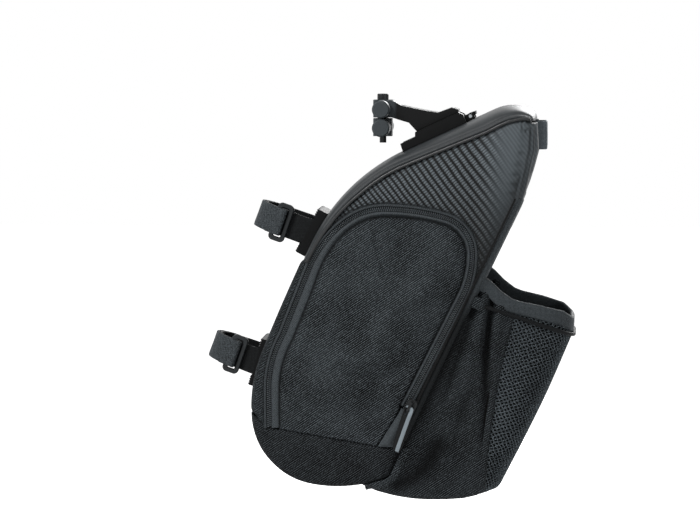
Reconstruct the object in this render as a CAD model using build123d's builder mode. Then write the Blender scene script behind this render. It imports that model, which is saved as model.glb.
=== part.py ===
"""Bicycle saddle bag with a rear bottle pocket, hung from the saddle rails by a quick-release clamp.

Millimetres. The origin is midway between the two saddle rails, at the middle of the rail clamp.
+X runs to the rear of the bicycle, +Z is up and -Y is the rider's left, the side with the door.
The bag is sewn from panels. Each panel is cut from one hollow wall by its outline in side view,
so neighbouring panels meet edge to edge along their seams.
"""

import os
from math import atan2, cos, degrees, pi, radians, sin

from build123d import *

os.makedirs("parts", exist_ok=True)

# ---------------------------------------------------------------- driving dimensions
# What the bag is fastened to
rail_diameter = 7.0
rail_spacing = 44.0
post_diameter = 31.6
post_lean = 19.3
post_point = (-63.0, -44.5)

# Bag body, in side view (X, Z)
tail_top = (113.0, 4.5)
hump_start = (84.0, 6.8)
lid_toe = (16.0, -24.4)
brow_end = (-52.0, -92.0)
front_end = (-87.0, -172.0)
nose = (-95.0, -220.0)
keel = (-51.0, -269.0)
heel = (8.0, -262.0)
back_bend = (105.0, -60.0)
tail_low = (115.0, -22.0)
tail_corner = (115.0, 0.0)
heel_radius = 12.0

# Bag body, across
front_half_width = 42.0
rear_half_width = 64.0
front_distance = 128.0
rear_corner_radius = 16.0
body_back = 2.6
back_panel_half_width = 40.0
wall = 3.0
lid_rim = 9.0
piping_height = 1.2
piping_width = 2.6

# Door and zip, in side view (X, Z)
door_gap = 0.8
zip_start = (-84.7, -224.0)
zip_low = (-85.0, -200.0)
zip_knee = (-74.5, -158.0)
zip_shoulder = (-55.5, -110.0)
zip_haunch = (-26.1, -72.1)
zip_crown = (5.0, -62.0)
zip_brow = (50.0, -68.0)
zip_corner = (72.5, -97.0)
zip_turn = (64.5, -131.0)
zip_end = (23.4, -211.7)
garage_top = (15.3, -214.6)
garage_side = (22.6, -221.2)
garage_foot = (10.6, -239.4)
hinge_front = (-83.0, -227.5)
hinge_rear = (-0.4, -239.4)
lid_end_height = -104.0
lid_low = [(110.0, -2.0), (20.0, -60.0)]
brow_side = -45.0
chin_height = -218.0
chain_ends = (-222.0, -212.5)
chain_row_width = 1.7
chain_height = 1.2
slider_travel = 75.0
slider_length = 11.0
slider_width = 8.0
slider_height = 2.4
slider_clearance = 0.3
bridge_width = 1.8
bridge_thickness = 1.2
bridge_space = 2.4
bridge_length = 8.0
pull_length = 35.0
pull_width = 7.2
pull_band = 1.3
pull_thickness = 1.5
pull_lean = 17.0

# Bottle pocket
mouth_front = (77.0, -114.0)
mouth_dip = (104.0, -133.0)
mouth_rear = (141.0, -140.5)
back_lean = 25.2
pocket_depth = 77.0
pocket_half_width_front = rear_half_width - 7.0
pocket_half_width_rear = rear_half_width - 24.0
pocket_corner_radius = 24.0
pocket_wall = 1.6
binding_width = 9.5
binding_proud = 0.6
base_seam = -262.0
base_drop = 144.5
base_low = (37.0, -281.0)
base_front = (-18.0, -265.5)
mesh_seam_top = (97.0, -143.8)
mesh_seam_middle = (83.0, -207.5)
mesh_seam_low = (75.2, -276.0)

# Elastic cord round the pocket
cord_diameter = 3.0
cord_clearance = 0.3
cord_drop_front = 19.5
cord_drop_rear = 12.5
cord_start = 10.0
tab_length = 9.0
tab_height = 9.0
tab_thickness = 4.4

# Tail-light loop
loop_height = 21.0
loop_reach = 7.6
loop_width = 30.0
loop_webbing = 1.4
loop_top = -1.8
loop_corner_radius = 2.5

# Seat-post straps
webbing_width = 20.0
webbing_thickness = 2.2
strap_drops = {"upper": 34.8, "lower": 139.2}
strap_spread = 3.0
ring_bar = 3.5
ring_window = 5.5
ring_slot = 22.0
ring_thickness = 2.6
ring_clearance = 1.3
pad_length = 36.0
pad_width = 46.0
pad_thicknesses = {"upper": 6.2, "lower": 3.0}
pad_teeth = 4
tooth_pitch = 1.8
tooth_side = 1.6

# Rail clamp and quick release
jaw_radius = 6.5
jaw_half_length = 31.0
jaw_gap = 0.8
jaw_drop = 4.0
bolt_diameter = 5.0
bolt_clearance = 0.15
bolt_head_diameter = 8.5
bolt_head_height = 4.5
bolt_socket = 4.0
boss_top = 13.5
boss_half_length = 7.0
boss_half_width = 8.0
nut_width = 8.0
nut_height = 4.0
nut_clearance = 0.1
arm_crest = [
    (0.0, 13.0), (8.0, 13.0), (14.0, 9.5), (23.0, 7.5), (33.0, 5.5), (41.6, 4.2), (51.8, 8.0), (56.9, 6.6)
]
arm_belly = [(19.9, -3.3), (12.7, -1.2), (7.5, 0.5), (0.0, 1.0)]
arm_half_width = 13.0
neck_half_width = 10.0
neck_start = 14.9
slide_rail_half_width = 15.0
slide_rail_thickness = 3.0
slide_rail_start = 15.9
slide_rail_end = 49.0
slide_clearance = 0.3
bracket_half_width = 23.0
bracket_base = 3.3
bracket_lip = 2.4
bracket_toe_length = 12.7
bracket_toe_height = 6.0
bracket_end_wall = 2.5
housing_end = 59.0
housing_height = 5.0
lever_pivot = (56.0, 3.0)
lever_hub_radius = 2.3
lever_half_width = 9.0
lever_nose = 44.5
lever_nose_length = 2.0
lever_tongue = (1.9, 2.9)
lever_tip = 61.0
lever_tip_height = 4.8
lever_recess_floor = 0.4
ear_thickness = 3.0
pin_diameter = 2.5
pin_clearance = 0.05
spring_wire = 0.8
spring_turns = 3
spring_gap = 1.7
spring_leg = 5.0
screw_diameter = 3.0
screw_hole_clearance = 0.2
screw_head_diameter = 6.0
screw_middle = 22.0
screw_spacing_along = 30.0
screw_spacing_across = 24.0
screw_length = 9.0
plate_thickness = 2.0
plate_margin = 6.0
stiffener_thickness = 2.0
stiffener_rows = (-106.0, -216.0)
stiffener_half_width = 32.0

# ---------------------------------------------------------------- derived planes and helpers
very_long = 400.0
very_wide = 90.0
side_reach = 30.0
view_front, view_rear, view_top, view_low = -150.0, 220.0, 60.0, -320.0


def slope(start, end):
    """Angle of the line from start to end, in degrees."""
    return degrees(atan2(end[1] - start[1], end[0] - start[0]))


def direction(angle):
    return (cos(radians(angle)), sin(radians(angle)))


def beyond(point, angle, distance):
    """The point at that distance from point, along angle."""
    return (point[0] + distance * cos(radians(angle)), point[1] + distance * sin(radians(angle)))


lid_slope = slope(lid_toe, hump_start)
back_slope = 90 - back_lean
taper = (rear_half_width - front_half_width) / front_distance

# Looks down the bag: x is the distance behind the back panel, y is the row's Y, z is up the bag.
plan = Plane(
    origin=(mouth_front[0], 0, mouth_front[1]),
    x_dir=(cos(radians(back_lean)), 0, -sin(radians(back_lean))),
    z_dir=(sin(radians(back_lean)), 0, cos(radians(back_lean))),
)
# Stands on the lid, seen from the rider's left: x is up the lid to the rear, y is off the lid.
lid_side = Plane(
    origin=(lid_toe[0], 0, lid_toe[1]),
    x_dir=(cos(radians(lid_slope)), 0, sin(radians(lid_slope))),
    z_dir=(0, -1, 0),
)
# Lies on the lid: x is up the lid, y is the row's Y.
lid_top = Plane(origin=lid_side.origin, x_dir=lid_side.x_dir, z_dir=lid_side.y_dir)
# The outward normal of the body's left side.
side_normal = (plan.x_dir * -taper + Vector(0, -1, 0)).normalized()


def half_width(point):
    """Half the body's width at a point of its side view, clear of its rounded corners."""
    return rear_half_width + taper * (Vector(point[0], 0, point[1]) - plan.origin).dot(plan.x_dir)


def on_side(point, proud=0.0):
    """The place on the body's left side that side view shows at point, moved outwards."""
    return Vector(point[0], -half_width(point), point[1]) + side_normal * proud


# ---------------------------------------------------------------- the body's form
def outline_lines():
    """The body in side view: tail, back, heel, keel, nose, front, brow and lid."""
    Line(tail_corner, tail_low)
    Line(tail_low, back_bend)
    Line(back_bend, heel)
    straight = Line(hump_start, lid_toe)
    brow = TangentArc(lid_toe, brow_end, tangent=straight % 1)
    front = TangentArc(brow_end, front_end, tangent=brow % 1)
    chin = TangentArc(front_end, nose, tangent=front % 1)
    bottom = TangentArc(nose, keel, tangent=chin % 1)
    TangentArc(keel, heel, tangent=bottom % 1)
    TangentArc(hump_start, tail_top, tangent=straight % 0 * -1)
    Line(tail_top, tail_corner)


def body_outline(inset=0.0):
    """The body's side view, with its edge moved inwards by inset."""
    with BuildSketch(Plane.XZ) as outline:
        with BuildLine():
            outline_lines()
        make_face()
        fillet(outline.vertices().sort_by_distance((heel[0], 0, heel[1]))[0], heel_radius)
        if inset:
            offset(amount=-inset)
    return outline.sketch


def body_form(inset=0.0):
    """The solid body, with every face moved inwards by inset."""
    front = -2 * front_distance
    with BuildPart() as form:
        extrude(body_outline(inset), amount=very_wide, both=True)
        with BuildSketch(plan) as section:
            Polygon(
                (body_back, rear_half_width + taper * body_back),
                (front, rear_half_width + taper * front),
                (front, -rear_half_width - taper * front),
                (body_back, -rear_half_width - taper * body_back),
                align=None,
            )
            fillet(section.vertices().group_by(Axis.X)[-1], rear_corner_radius)
            if inset:
                offset(amount=-inset)
        extrude(amount=very_long, both=True, mode=Mode.INTERSECT)
    return form.part


# ---------------------------------------------------------------- zones of the side view
def zone(*points):
    """A flat zone of the side view, from its corners."""
    with BuildSketch(Plane.XZ) as made:
        Polygon(*points, align=None)
    return made.sketch


def border(outer_inset, inner_inset):
    """The band of the side view between two distances inside the body's outline."""
    with BuildSketch(Plane.XZ) as band:
        add(body_outline(outer_inset))
        add(body_outline(inner_inset), mode=Mode.SUBTRACT)
    return band.sketch


def door_zone(inset=0.0):
    """The arch of the zip, closed by the garage's edge and the hinge line."""
    with BuildSketch(Plane.XZ) as arch:
        with BuildLine():
            first = Line(zip_start, zip_low)
            TangentArc(zip_low, zip_knee, tangent=first % 1)
            second = Line(zip_knee, zip_shoulder)
            haunch = TangentArc(zip_shoulder, zip_haunch, tangent=second % 1)
            crown = TangentArc(zip_haunch, zip_crown, tangent=haunch % 1)
            brow = TangentArc(zip_crown, zip_brow, tangent=crown % 1)
            corner = TangentArc(zip_brow, zip_corner, tangent=brow % 1)
            TangentArc(zip_corner, zip_turn, tangent=corner % 1)
            Polyline(zip_turn, zip_end, garage_top, hinge_rear, hinge_front, zip_start)
        make_face()
        if inset:
            offset(amount=-inset)
    return arch.sketch


far_top_front, far_top_rear = (view_front, view_top), (view_rear, view_top)
far_low_front, far_low_rear = (view_front, view_low), (view_rear, view_low)
lid_end = (brow_side, lid_end_height)
chin_seam = (view_front, chin_height)
everywhere = zone(far_top_front, far_top_rear, far_low_rear, far_low_front)
lid_rows = zone(
    far_top_front, far_top_rear, (view_rear, lid_low[0][1]), *lid_low, lid_end, (view_front, lid_end_height)
)
front_rows = zone((view_front, lid_end_height), lid_end, (brow_side, hinge_front[1]), hinge_front, chin_seam)
bottom_rear = (mouth_front[0], garage_foot[1])
bottom_rows = zone(
    chin_seam, hinge_front, hinge_rear, garage_foot, bottom_rear, (bottom_rear[0], view_low), far_low_front
)
garage_zone = zone(zip_end, garage_side, garage_foot, hinge_rear, garage_top)
back_rows = zone(
    (lid_low[1][0], lid_low[0][1]), (view_rear, lid_low[0][1]), (view_rear, garage_foot[1]), (0, garage_foot[1])
)
zip_opening = door_zone()
lid_zone = (border(0, lid_rim) & lid_rows) - zip_opening
front_zone = front_rows - zip_opening
back_zone = (border(-1, wall) & back_rows) - lid_zone
side_zone = everywhere - lid_rows - front_rows - bottom_rows - zip_opening - garage_zone
rim_rest = (body_outline(lid_rim) & lid_rows) - zip_opening


def between(area, low, high):
    """The solid that a zone of the side view sweeps between two places across the bag."""
    with BuildPart() as swept:
        extrude(Pos(0, high, 0) * area, amount=high - low)
    return swept.part


def panel(block, area, low=-very_wide, high=very_wide, less=()):
    """The panel that area, seen from the side, takes out of block."""
    with BuildPart() as made:
        add(block)
        add(between(area, low, high), mode=Mode.INTERSECT)
        for piece in less:
            add(piece, mode=Mode.SUBTRACT)
    return made.part


pieces = {}


def keep(name, part):
    """Names a finished piece and holds it for export."""
    part.label = name
    pieces[name] = part


# ---------------------------------------------------------------- body panels
body_solid = body_form()
with BuildPart() as body_wall:
    add(body_solid)
    add(body_form(wall), mode=Mode.SUBTRACT)
with BuildPart() as piping_layer:
    add(body_form(-piping_height))
    add(body_solid, mode=Mode.SUBTRACT)

back_panel = panel(body_wall.part, back_zone, -back_panel_half_width, back_panel_half_width)
keep("back_panel", back_panel)
keep("front_gusset", panel(body_wall.part, front_zone))
keep("bottom_panel", panel(body_wall.part, bottom_rows))
carbon_zone = side_zone + rim_rest
keep("carbon_panel_left", panel(body_wall.part, carbon_zone, high=0, less=[back_panel]))
keep("carbon_panel_right", panel(body_wall.part, carbon_zone, low=0, less=[back_panel]))
keep("side_panel_right", panel(body_wall.part, zip_opening + garage_zone, low=0))
keep("door_panel", panel(body_wall.part, door_zone(door_gap), high=0))
keep("zip_garage", panel(body_wall.part, garage_zone, high=0))

seam_zone = (border(lid_rim - piping_width / 2, lid_rim + piping_width / 2) & lid_rows) - door_zone(
    -door_gap - chain_row_width
)
for side, low, high in (("left", -very_wide, -side_reach), ("right", side_reach, very_wide)):
    keep(f"lid_piping_{side}", panel(piping_layer.part, seam_zone, low, high))

# The coil runs from the front end of the hinge line, over the arch, to the slider's rest.
chain_rows = zone(
    far_top_front,
    far_top_rear,
    (view_rear, chain_ends[1]),
    (0, chain_ends[1]),
    (0, -150),
    (-60, -150),
    (-60, chain_ends[0]),
    (view_front, chain_ends[0]),
)
chain_on_bag = (door_zone(-chain_row_width) - zip_opening) & chain_rows
chain_on_door = (door_zone(door_gap) - door_zone(door_gap + chain_row_width)) & chain_rows
with BuildPart() as chain_layer:
    add(body_form(-chain_height))
    add(body_solid, mode=Mode.SUBTRACT)
keep("zip_chain_bag", panel(chain_layer.part, chain_on_bag, high=-side_reach))
keep("zip_chain_door", panel(chain_layer.part, chain_on_door, high=-side_reach))

# ---------------------------------------------------------------- bottle pocket
def mouth_lines():
    """The mouth's edge in side view, from the rear rim down to its dip and up to the back panel."""
    rise = slope(mouth_rear, mouth_dip)
    past_rear = beyond(mouth_rear, rise + 180, pocket_corner_radius)
    past_front = beyond(mouth_front, rise - 30, pocket_corner_radius)
    rear = TangentArc(mouth_rear, mouth_dip, tangent=direction(rise + 6))
    TangentArc(mouth_dip, mouth_front, tangent=rear % 1)
    Polyline(mouth_front, past_front, (past_front[0], view_top), far_top_rear)
    Polyline(far_top_rear, (view_rear, past_rear[1]), past_rear, mouth_rear)


with BuildSketch(Plane.XZ) as above_mouth:
    with BuildLine():
        mouth_lines()
    make_face()
binding_shift = plan.z_dir * -binding_width
above_binding_edge = Pos(*binding_shift) * above_mouth.sketch


def pocket_form(inset=0.0):
    """The solid pocket with its mouth run on upwards, moved inwards by inset."""
    outer_top = beyond(mouth_front, back_slope, pocket_depth)
    rear_top = beyond(outer_top, -back_lean, pocket_depth)
    base_rear = beyond(rear_top, back_slope, -base_drop - pocket_depth)
    with BuildPart() as form:
        with BuildSketch(Plane.XZ) as outline:
            with BuildLine():
                Polyline(outer_top, rear_top, base_rear)
                ThreePointArc(base_rear, base_low, base_front)
                Polyline(base_front, hinge_rear, outer_top)
            make_face()
            if inset:
                offset(amount=-inset)
        extrude(amount=very_wide, both=True)
        with BuildSketch(plan) as section:
            Polygon(
                (-pocket_depth, pocket_half_width_front),
                (0, pocket_half_width_front),
                (pocket_depth, pocket_half_width_rear),
                (pocket_depth, -pocket_half_width_rear),
                (0, -pocket_half_width_front),
                (-pocket_depth, -pocket_half_width_front),
                align=None,
            )
            fillet(section.vertices().group_by(Axis.X)[-1], pocket_corner_radius)
            if inset:
                offset(amount=-inset)
        extrude(amount=very_long, both=True, mode=Mode.INTERSECT)
    return form.part


with BuildPart() as pocket_layer:
    add(pocket_form())
    add(pocket_form(pocket_wall), mode=Mode.SUBTRACT)
    add(body_solid, mode=Mode.SUBTRACT)
    add(between(above_binding_edge, -very_wide, very_wide), mode=Mode.SUBTRACT)
with BuildPart() as binding_layer:
    add(pocket_form(-binding_proud))
    add(pocket_form(pocket_wall + binding_proud), mode=Mode.SUBTRACT)
    add(body_solid, mode=Mode.SUBTRACT)

with BuildSketch(Plane.XZ) as mesh_rows:
    with BuildLine():
        ThreePointArc(mesh_seam_top, mesh_seam_middle, mesh_seam_low)
        seam_above = beyond(mesh_seam_top, slope(mesh_seam_middle, mesh_seam_top), pocket_depth)
        Polyline(mesh_seam_low, (mesh_seam_low[0], view_low), far_low_rear)
        Polyline(far_low_rear, (view_rear, seam_above[1]), seam_above, mesh_seam_top)
    make_face()
base_rows = zone((view_front, base_seam), (view_rear, base_seam), far_low_rear, far_low_front)
keep("pocket_gusset", panel(pocket_layer.part, everywhere - mesh_rows.sketch - base_rows))
keep("pocket_mesh", panel(pocket_layer.part, mesh_rows.sketch - base_rows))
keep("pocket_base", panel(pocket_layer.part, base_rows))
keep("pocket_binding", panel(binding_layer.part, above_binding_edge - above_mouth.sketch))

# ---------------------------------------------------------------- elastic cord
side_fall = (pocket_half_width_front - pocket_half_width_rear) / pocket_depth
side_angle = degrees(atan2(side_fall, 1))
cord_stand_off = cord_diameter / 2 + cord_clearance
cord_tail_y = pocket_half_width_front - side_fall * cord_start + cord_stand_off / cos(radians(side_angle))
cord_rear_x = pocket_depth + cord_stand_off
cord_rear_y = pocket_half_width_rear + cord_stand_off
cord_radius = pocket_corner_radius + cord_stand_off
cord_route = [
    plan.from_local_coords((cord_start, -cord_tail_y, -cord_drop_front)),
    plan.from_local_coords((cord_rear_x, -cord_rear_y, -cord_drop_rear)),
    plan.from_local_coords((cord_rear_x, cord_rear_y, -cord_drop_rear)),
    plan.from_local_coords((cord_start, cord_tail_y, -cord_drop_front)),
]
with BuildPart() as elastic_cord:
    with BuildLine():
        cord_path = FilletPolyline(*cord_route, radius=[cord_radius, cord_radius])
    with BuildSketch(Plane(origin=cord_path @ 0, z_dir=cord_path % 0)):
        Circle(cord_diameter / 2)
    sweep()
keep("elastic_cord", elastic_cord.part)
print("cord radii", [cord_radius, cord_radius])
print("cord length", round(cord_path.length, 1))
print("cord volume share", round(elastic_cord.part.volume / (pi * cord_diameter**2 / 4 * cord_path.length), 4))
for point in cord_route:
    print("cord route", [round(value, 2) for value in point])

# The webbing tabs that hold the cord's two ends on the gusset's sides.
for side, sign in (("left", -1), ("right", 1)):
    start = cord_route[0] if sign < 0 else cord_route[-1]
    along = plan.x_dir + Vector(0, -sign * side_fall, 0)
    outwards = Vector(0, sign, 0) + plan.x_dir * side_fall
    tab_centre = start - along.normalized() * (tab_length / 2 + cord_clearance)
    tab_plane = Plane(origin=tab_centre, x_dir=along, z_dir=outwards).offset(-cord_stand_off)
    with BuildPart() as cord_tab:
        with BuildSketch(tab_plane):
            RectangleRounded(tab_length, tab_height, 1.2)
        extrude(amount=tab_thickness)
        add(body_solid, mode=Mode.SUBTRACT)
    keep(f"cord_tab_{side}", cord_tab.part)

# ---------------------------------------------------------------- tail-light loop
with BuildPart() as tail_light_loop:
    with BuildSketch(Plane.XY.offset(loop_top)):
        with Locations((tail_corner[0], 0)):
            RectangleRounded(loop_reach * 2, loop_width, loop_corner_radius)
            RectangleRounded(
                2 * (loop_reach - loop_webbing),
                loop_width - 2 * loop_webbing,
                loop_corner_radius - loop_webbing,
                mode=Mode.SUBTRACT,
            )
    extrude(amount=-loop_height)
    with BuildSketch(Plane.XY.offset(loop_top)):
        with Locations((tail_corner[0], 0)):
            Rectangle(2 * loop_reach, 2 * loop_width, align=(Align.MAX, Align.CENTER))
    extrude(amount=-loop_height, mode=Mode.SUBTRACT)
keep("tail_light_loop", tail_light_loop.part)

# ---------------------------------------------------------------- seat-post straps
post_axis = Vector(-sin(radians(post_lean)), 0, -cos(radians(post_lean)))
to_bag = Vector(cos(radians(post_lean)), 0, -sin(radians(post_lean)))
post_radius = post_diameter / 2
ring_half_width = ring_window / 2 + ring_bar


def reach_to_body(start, towards):
    """How far the body's outline lies from start, in side view."""
    ray = Edge.make_line(start, start + towards * very_wide)
    met = [point for edge in body_outline().edges() for point in (edge.intersect(ray) or [])]
    return min((Vector(*point) - start).dot(towards) for point in met)


for place, drop in strap_drops.items():
    centre = Vector(post_point[0], 0, post_point[1]) + post_axis * drop
    strap_plane = Plane(origin=centre, x_dir=to_bag, z_dir=post_axis * -1)
    front_face = reach_to_body(centre, to_bag)
    pad_thickness = pad_thicknesses[place]
    pad_face = front_face - pad_thickness
    inner_layer = post_radius + webbing_thickness
    outer_layer = inner_layer + webbing_thickness

    # The pad lies on the body's front, with cross ridges at both ends.
    above = centre - post_axis * (pad_length / 2)
    below = centre + post_axis * (pad_length / 2)
    pad_top = above + to_bag * reach_to_body(above, to_bag)
    pad_low = below + to_bag * reach_to_body(below, to_bag)
    pad_plane = Plane(origin=centre + to_bag * front_face, x_dir=pad_top - pad_low, z_dir=(0, -1, 0))
    with BuildPart() as pad:
        with BuildSketch(pad_plane.offset(-pad_width / 2)):
            with Locations((0, -pad_thickness / 2)):
                Rectangle(pad_length, 3 * pad_thickness)
        extrude(amount=pad_width)
        with BuildSketch(pad_plane.offset(-pad_width / 2)):
            for end in (-1, 1):
                for tooth in range(pad_teeth):
                    with Locations((end * (pad_length / 2 - (tooth + 0.5) * tooth_pitch), pad_thickness)):
                        Triangle(a=tooth_pitch, b=tooth_side, c=tooth_side, align=(Align.CENTER, Align.MIN))
        extrude(amount=pad_width)
        add(body_solid, mode=Mode.SUBTRACT)
    keep(f"strap_pad_{place}", pad.part)

    with BuildPart() as strap:
        with BuildSketch(strap_plane.offset(-webbing_width / 2)):
            Circle(inner_layer)
            Polygon(
                (0, inner_layer),
                (pad_face, inner_layer + strap_spread),
                (pad_face, -inner_layer - strap_spread),
                (0, -inner_layer),
                align=None,
            )
            Circle(post_radius, mode=Mode.SUBTRACT)
            Polygon(
                (0, post_radius),
                (pad_face + 5, post_radius + strap_spread),
                (pad_face + 5, -post_radius - strap_spread),
                (0, -post_radius),
                align=None,
                mode=Mode.SUBTRACT,
            )
        extrude(amount=webbing_width)
        with BuildSketch(strap_plane.offset(-webbing_width / 2)):
            Circle(outer_layer)
            Circle(inner_layer, mode=Mode.SUBTRACT)
            with Locations((-ring_half_width - ring_clearance, 0)):
                Rectangle(
                    very_wide, very_wide, align=(Align.MIN, Align.CENTER), mode=Mode.SUBTRACT
                )
        extrude(amount=webbing_width)
        add(pad.part, mode=Mode.SUBTRACT)
        add(body_solid, mode=Mode.SUBTRACT)
    keep(f"strap_{place}", strap.part)

    ring_plane = Plane(origin=centre, x_dir=to_bag, z_dir=(0, -1, 0)).offset(inner_layer + ring_clearance)
    with BuildPart() as ring:
        with BuildSketch(ring_plane):
            RectangleRounded(2 * ring_half_width, ring_slot + 2 * ring_bar, ring_bar)
            RectangleRounded(ring_window, ring_slot, 1.0, mode=Mode.SUBTRACT)
        extrude(amount=ring_thickness)
        chamfer(ring.faces().sort_by(Axis.Y)[0].edges(), 0.6)
    keep(f"strap_ring_{place}", ring.part)

# ---------------------------------------------------------------- rail clamp (stays on the bicycle)
jaw_centre = jaw_radius + jaw_gap / 2
bolt_hole_radius = bolt_diameter / 2 + bolt_clearance
slot_end = slide_rail_end + slide_clearance
slot_top = bracket_base + 2 * slide_clearance + slide_rail_thickness
neck_low = slot_top - slide_clearance
bracket_top = slot_top + bracket_lip
neck_top = bracket_top + slide_clearance


def at_lid(along, height):
    """The side-view point that lies that far up the lid and that far off it."""
    place = lid_side.from_local_coords((along, height, 0))
    return (place.X, place.Z)


def jaw(sign):
    """A round jaw bar across the rails, with its bolt boss. sign is 1 above the rails and -1 below."""
    with BuildPart() as bar:
        with BuildSketch(Plane.XZ):
            with Locations((0, sign * jaw_centre)):
                Circle(jaw_radius)
        extrude(amount=jaw_half_length, both=True)
        chamfer(bar.edges().filter_by(GeomType.CIRCLE), 1.0)
        with BuildSketch(Plane.XY.offset(sign * jaw_gap / 2)):
            RectangleRounded(2 * boss_half_length, 2 * boss_half_width, 2.0)
        extrude(amount=sign * (boss_top - jaw_gap / 2))
        with BuildSketch(Plane.YZ):
            with GridLocations(rail_spacing, 1, 2, 1):
                Circle(rail_diameter / 2)
        extrude(amount=2 * jaw_radius, both=True, mode=Mode.SUBTRACT)
    return bar.part


with BuildPart() as bolt_hole:
    Cylinder(bolt_hole_radius, 4 * boss_top)

with BuildPart() as fixer_upper_jaw:
    add(jaw(1))
    with BuildSketch(Plane.XZ):
        arm_foot = [at_lid(slide_rail_end, neck_top), at_lid(neck_start, neck_top)]
        Polygon(*arm_crest, *arm_foot, *arm_belly, align=None)
    extrude(amount=arm_half_width, both=True)
    with BuildSketch(lid_side):
        Polygon(
            (neck_start, neck_top),
            (slide_rail_start, neck_low),
            (slide_rail_end, neck_low),
            (slide_rail_end, neck_top),
            align=None,
        )
    extrude(amount=neck_half_width, both=True)
    with BuildSketch(lid_side):
        with Locations((slide_rail_start, neck_low)):
            rail_length = slide_rail_end - slide_rail_start
            Rectangle(rail_length, slide_rail_thickness, align=(Align.MIN, Align.MAX))
    extrude(amount=slide_rail_half_width, both=True)
    add(bolt_hole.part, mode=Mode.SUBTRACT)
keep("fixer_upper_jaw", fixer_upper_jaw.part)

with BuildPart() as fixer_lower_jaw:
    add(jaw(-1))
    with BuildSketch(Plane.XY.offset(-boss_top)):
        RegularPolygon(nut_width / 2 + nut_clearance, 6, major_radius=False)
    extrude(amount=nut_height, mode=Mode.SUBTRACT)
    add(bolt_hole.part, mode=Mode.SUBTRACT)
keep("fixer_lower_jaw", fixer_lower_jaw.part)

with BuildPart() as fixer_nut:
    with BuildSketch(Plane.XY.offset(-boss_top)):
        RegularPolygon(nut_width / 2, 6, major_radius=False)
        Circle(bolt_diameter / 2 + pin_clearance, mode=Mode.SUBTRACT)
    extrude(amount=nut_height)
keep("fixer_nut", fixer_nut.part)

with BuildPart() as fixer_bolt:
    with BuildSketch(Plane.XY.offset(boss_top)):
        Circle(bolt_head_diameter / 2)
    extrude(amount=bolt_head_height)
    fillet(fixer_bolt.faces().sort_by(Axis.Z)[-1].edges(), 0.8)
    with BuildSketch(Plane.XY.offset(boss_top)):
        Circle(bolt_diameter / 2)
    extrude(amount=-2 * boss_top - jaw_drop - 1)
    with BuildSketch(Plane.XY.offset(boss_top + bolt_head_height)):
        RegularPolygon(bolt_socket / 2, 6, major_radius=False)
    extrude(amount=-bolt_head_height / 2, mode=Mode.SUBTRACT)
keep("fixer_bolt", fixer_bolt.part)

# ---------------------------------------------------------------- quick-release bracket on the lid
bracket_end = slot_end + bracket_end_wall
ear_inner = lever_half_width + slide_clearance
ear_outer = ear_inner + ear_thickness
pivot_plane = Plane(
    origin=lid_side.from_local_coords((*lever_pivot, 0)), x_dir=lid_side.x_dir, z_dir=lid_side.z_dir
)

with BuildPart() as bag_bracket:
    with BuildSketch(lid_side):
        Polygon(
            (0, 0),
            (bracket_end, 0),
            (bracket_end, neck_low),
            (slot_end, bracket_top),
            (bracket_toe_length + 1.5, bracket_top),
            (bracket_toe_length, bracket_toe_height),
            (0.7, bracket_toe_height),
            align=None,
        )
    extrude(amount=bracket_half_width, both=True)
    with BuildSketch(lid_side):
        with Locations((0, bracket_base)):
            Rectangle(slot_end, slot_top - bracket_base, align=(Align.MIN, Align.MIN))
    extrude(amount=slide_rail_half_width + slide_clearance, both=True, mode=Mode.SUBTRACT)
    with BuildSketch(lid_side):
        with Locations((0, neck_low)):
            Rectangle(slot_end, 2 * bracket_lip, align=(Align.MIN, Align.MIN))
    extrude(amount=neck_half_width + slide_clearance, both=True, mode=Mode.SUBTRACT)
    # The lever's housing behind the channel, and the recess that its tongue runs forward in.
    with BuildSketch(lid_side):
        Polygon(
            (slot_end, 0),
            (housing_end, 0),
            (housing_end, lever_pivot[1]),
            (housing_end - 1.5, housing_height),
            (slot_end, housing_height),
            align=None,
        )
    extrude(amount=ear_outer, both=True)
    with BuildSketch(lid_side):
        with Locations((lever_nose - 1, lever_recess_floor)):
            Rectangle(very_wide, 2 * bracket_top, align=(Align.MIN, Align.MIN))
    extrude(amount=ear_inner, both=True, mode=Mode.SUBTRACT)
    with BuildSketch(pivot_plane):
        Circle(pin_diameter / 2)
    extrude(amount=ear_outer, both=True, mode=Mode.SUBTRACT)
    with Locations(lid_top.offset(bracket_base)):
        with Locations((screw_middle, 0)):
            with GridLocations(screw_spacing_along, screw_spacing_across, 2, 2):
                CounterSinkHole(screw_diameter / 2 + screw_hole_clearance, screw_head_diameter / 2)
keep("bag_bracket", bag_bracket.part)

with BuildPart() as release_lever:
    with BuildSketch(lid_side):
        with Locations(lever_pivot):
            Circle(lever_hub_radius)
        Polygon(
            (lever_pivot[0], lever_pivot[1] + lever_hub_radius),
            (lever_tip, lever_tip_height),
            (lever_tip - 0.5, lever_pivot[1] - 0.4),
            (lever_pivot[0], lever_pivot[1] - 1),
            align=None,
        )
        with Locations((lever_nose, lever_tongue[0])):
            Rectangle(
                lever_pivot[0] - lever_nose, lever_tongue[1] - lever_tongue[0], align=(Align.MIN, Align.MIN)
            )
            Rectangle(lever_nose_length, bracket_base - lever_tongue[0], align=(Align.MIN, Align.MIN))
    extrude(amount=lever_half_width, both=True)
    with BuildSketch(pivot_plane):
        Circle(pin_diameter / 2 + pin_clearance)
    extrude(amount=lever_half_width, both=True, mode=Mode.SUBTRACT)
    with BuildSketch(pivot_plane):
        Circle(lever_hub_radius + slide_clearance)
        Rectangle(spring_leg + 1, 2 * lever_hub_radius, align=(Align.MAX, Align.CENTER))
    extrude(amount=spring_gap, both=True, mode=Mode.SUBTRACT)
keep("release_lever", release_lever.part)

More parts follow.
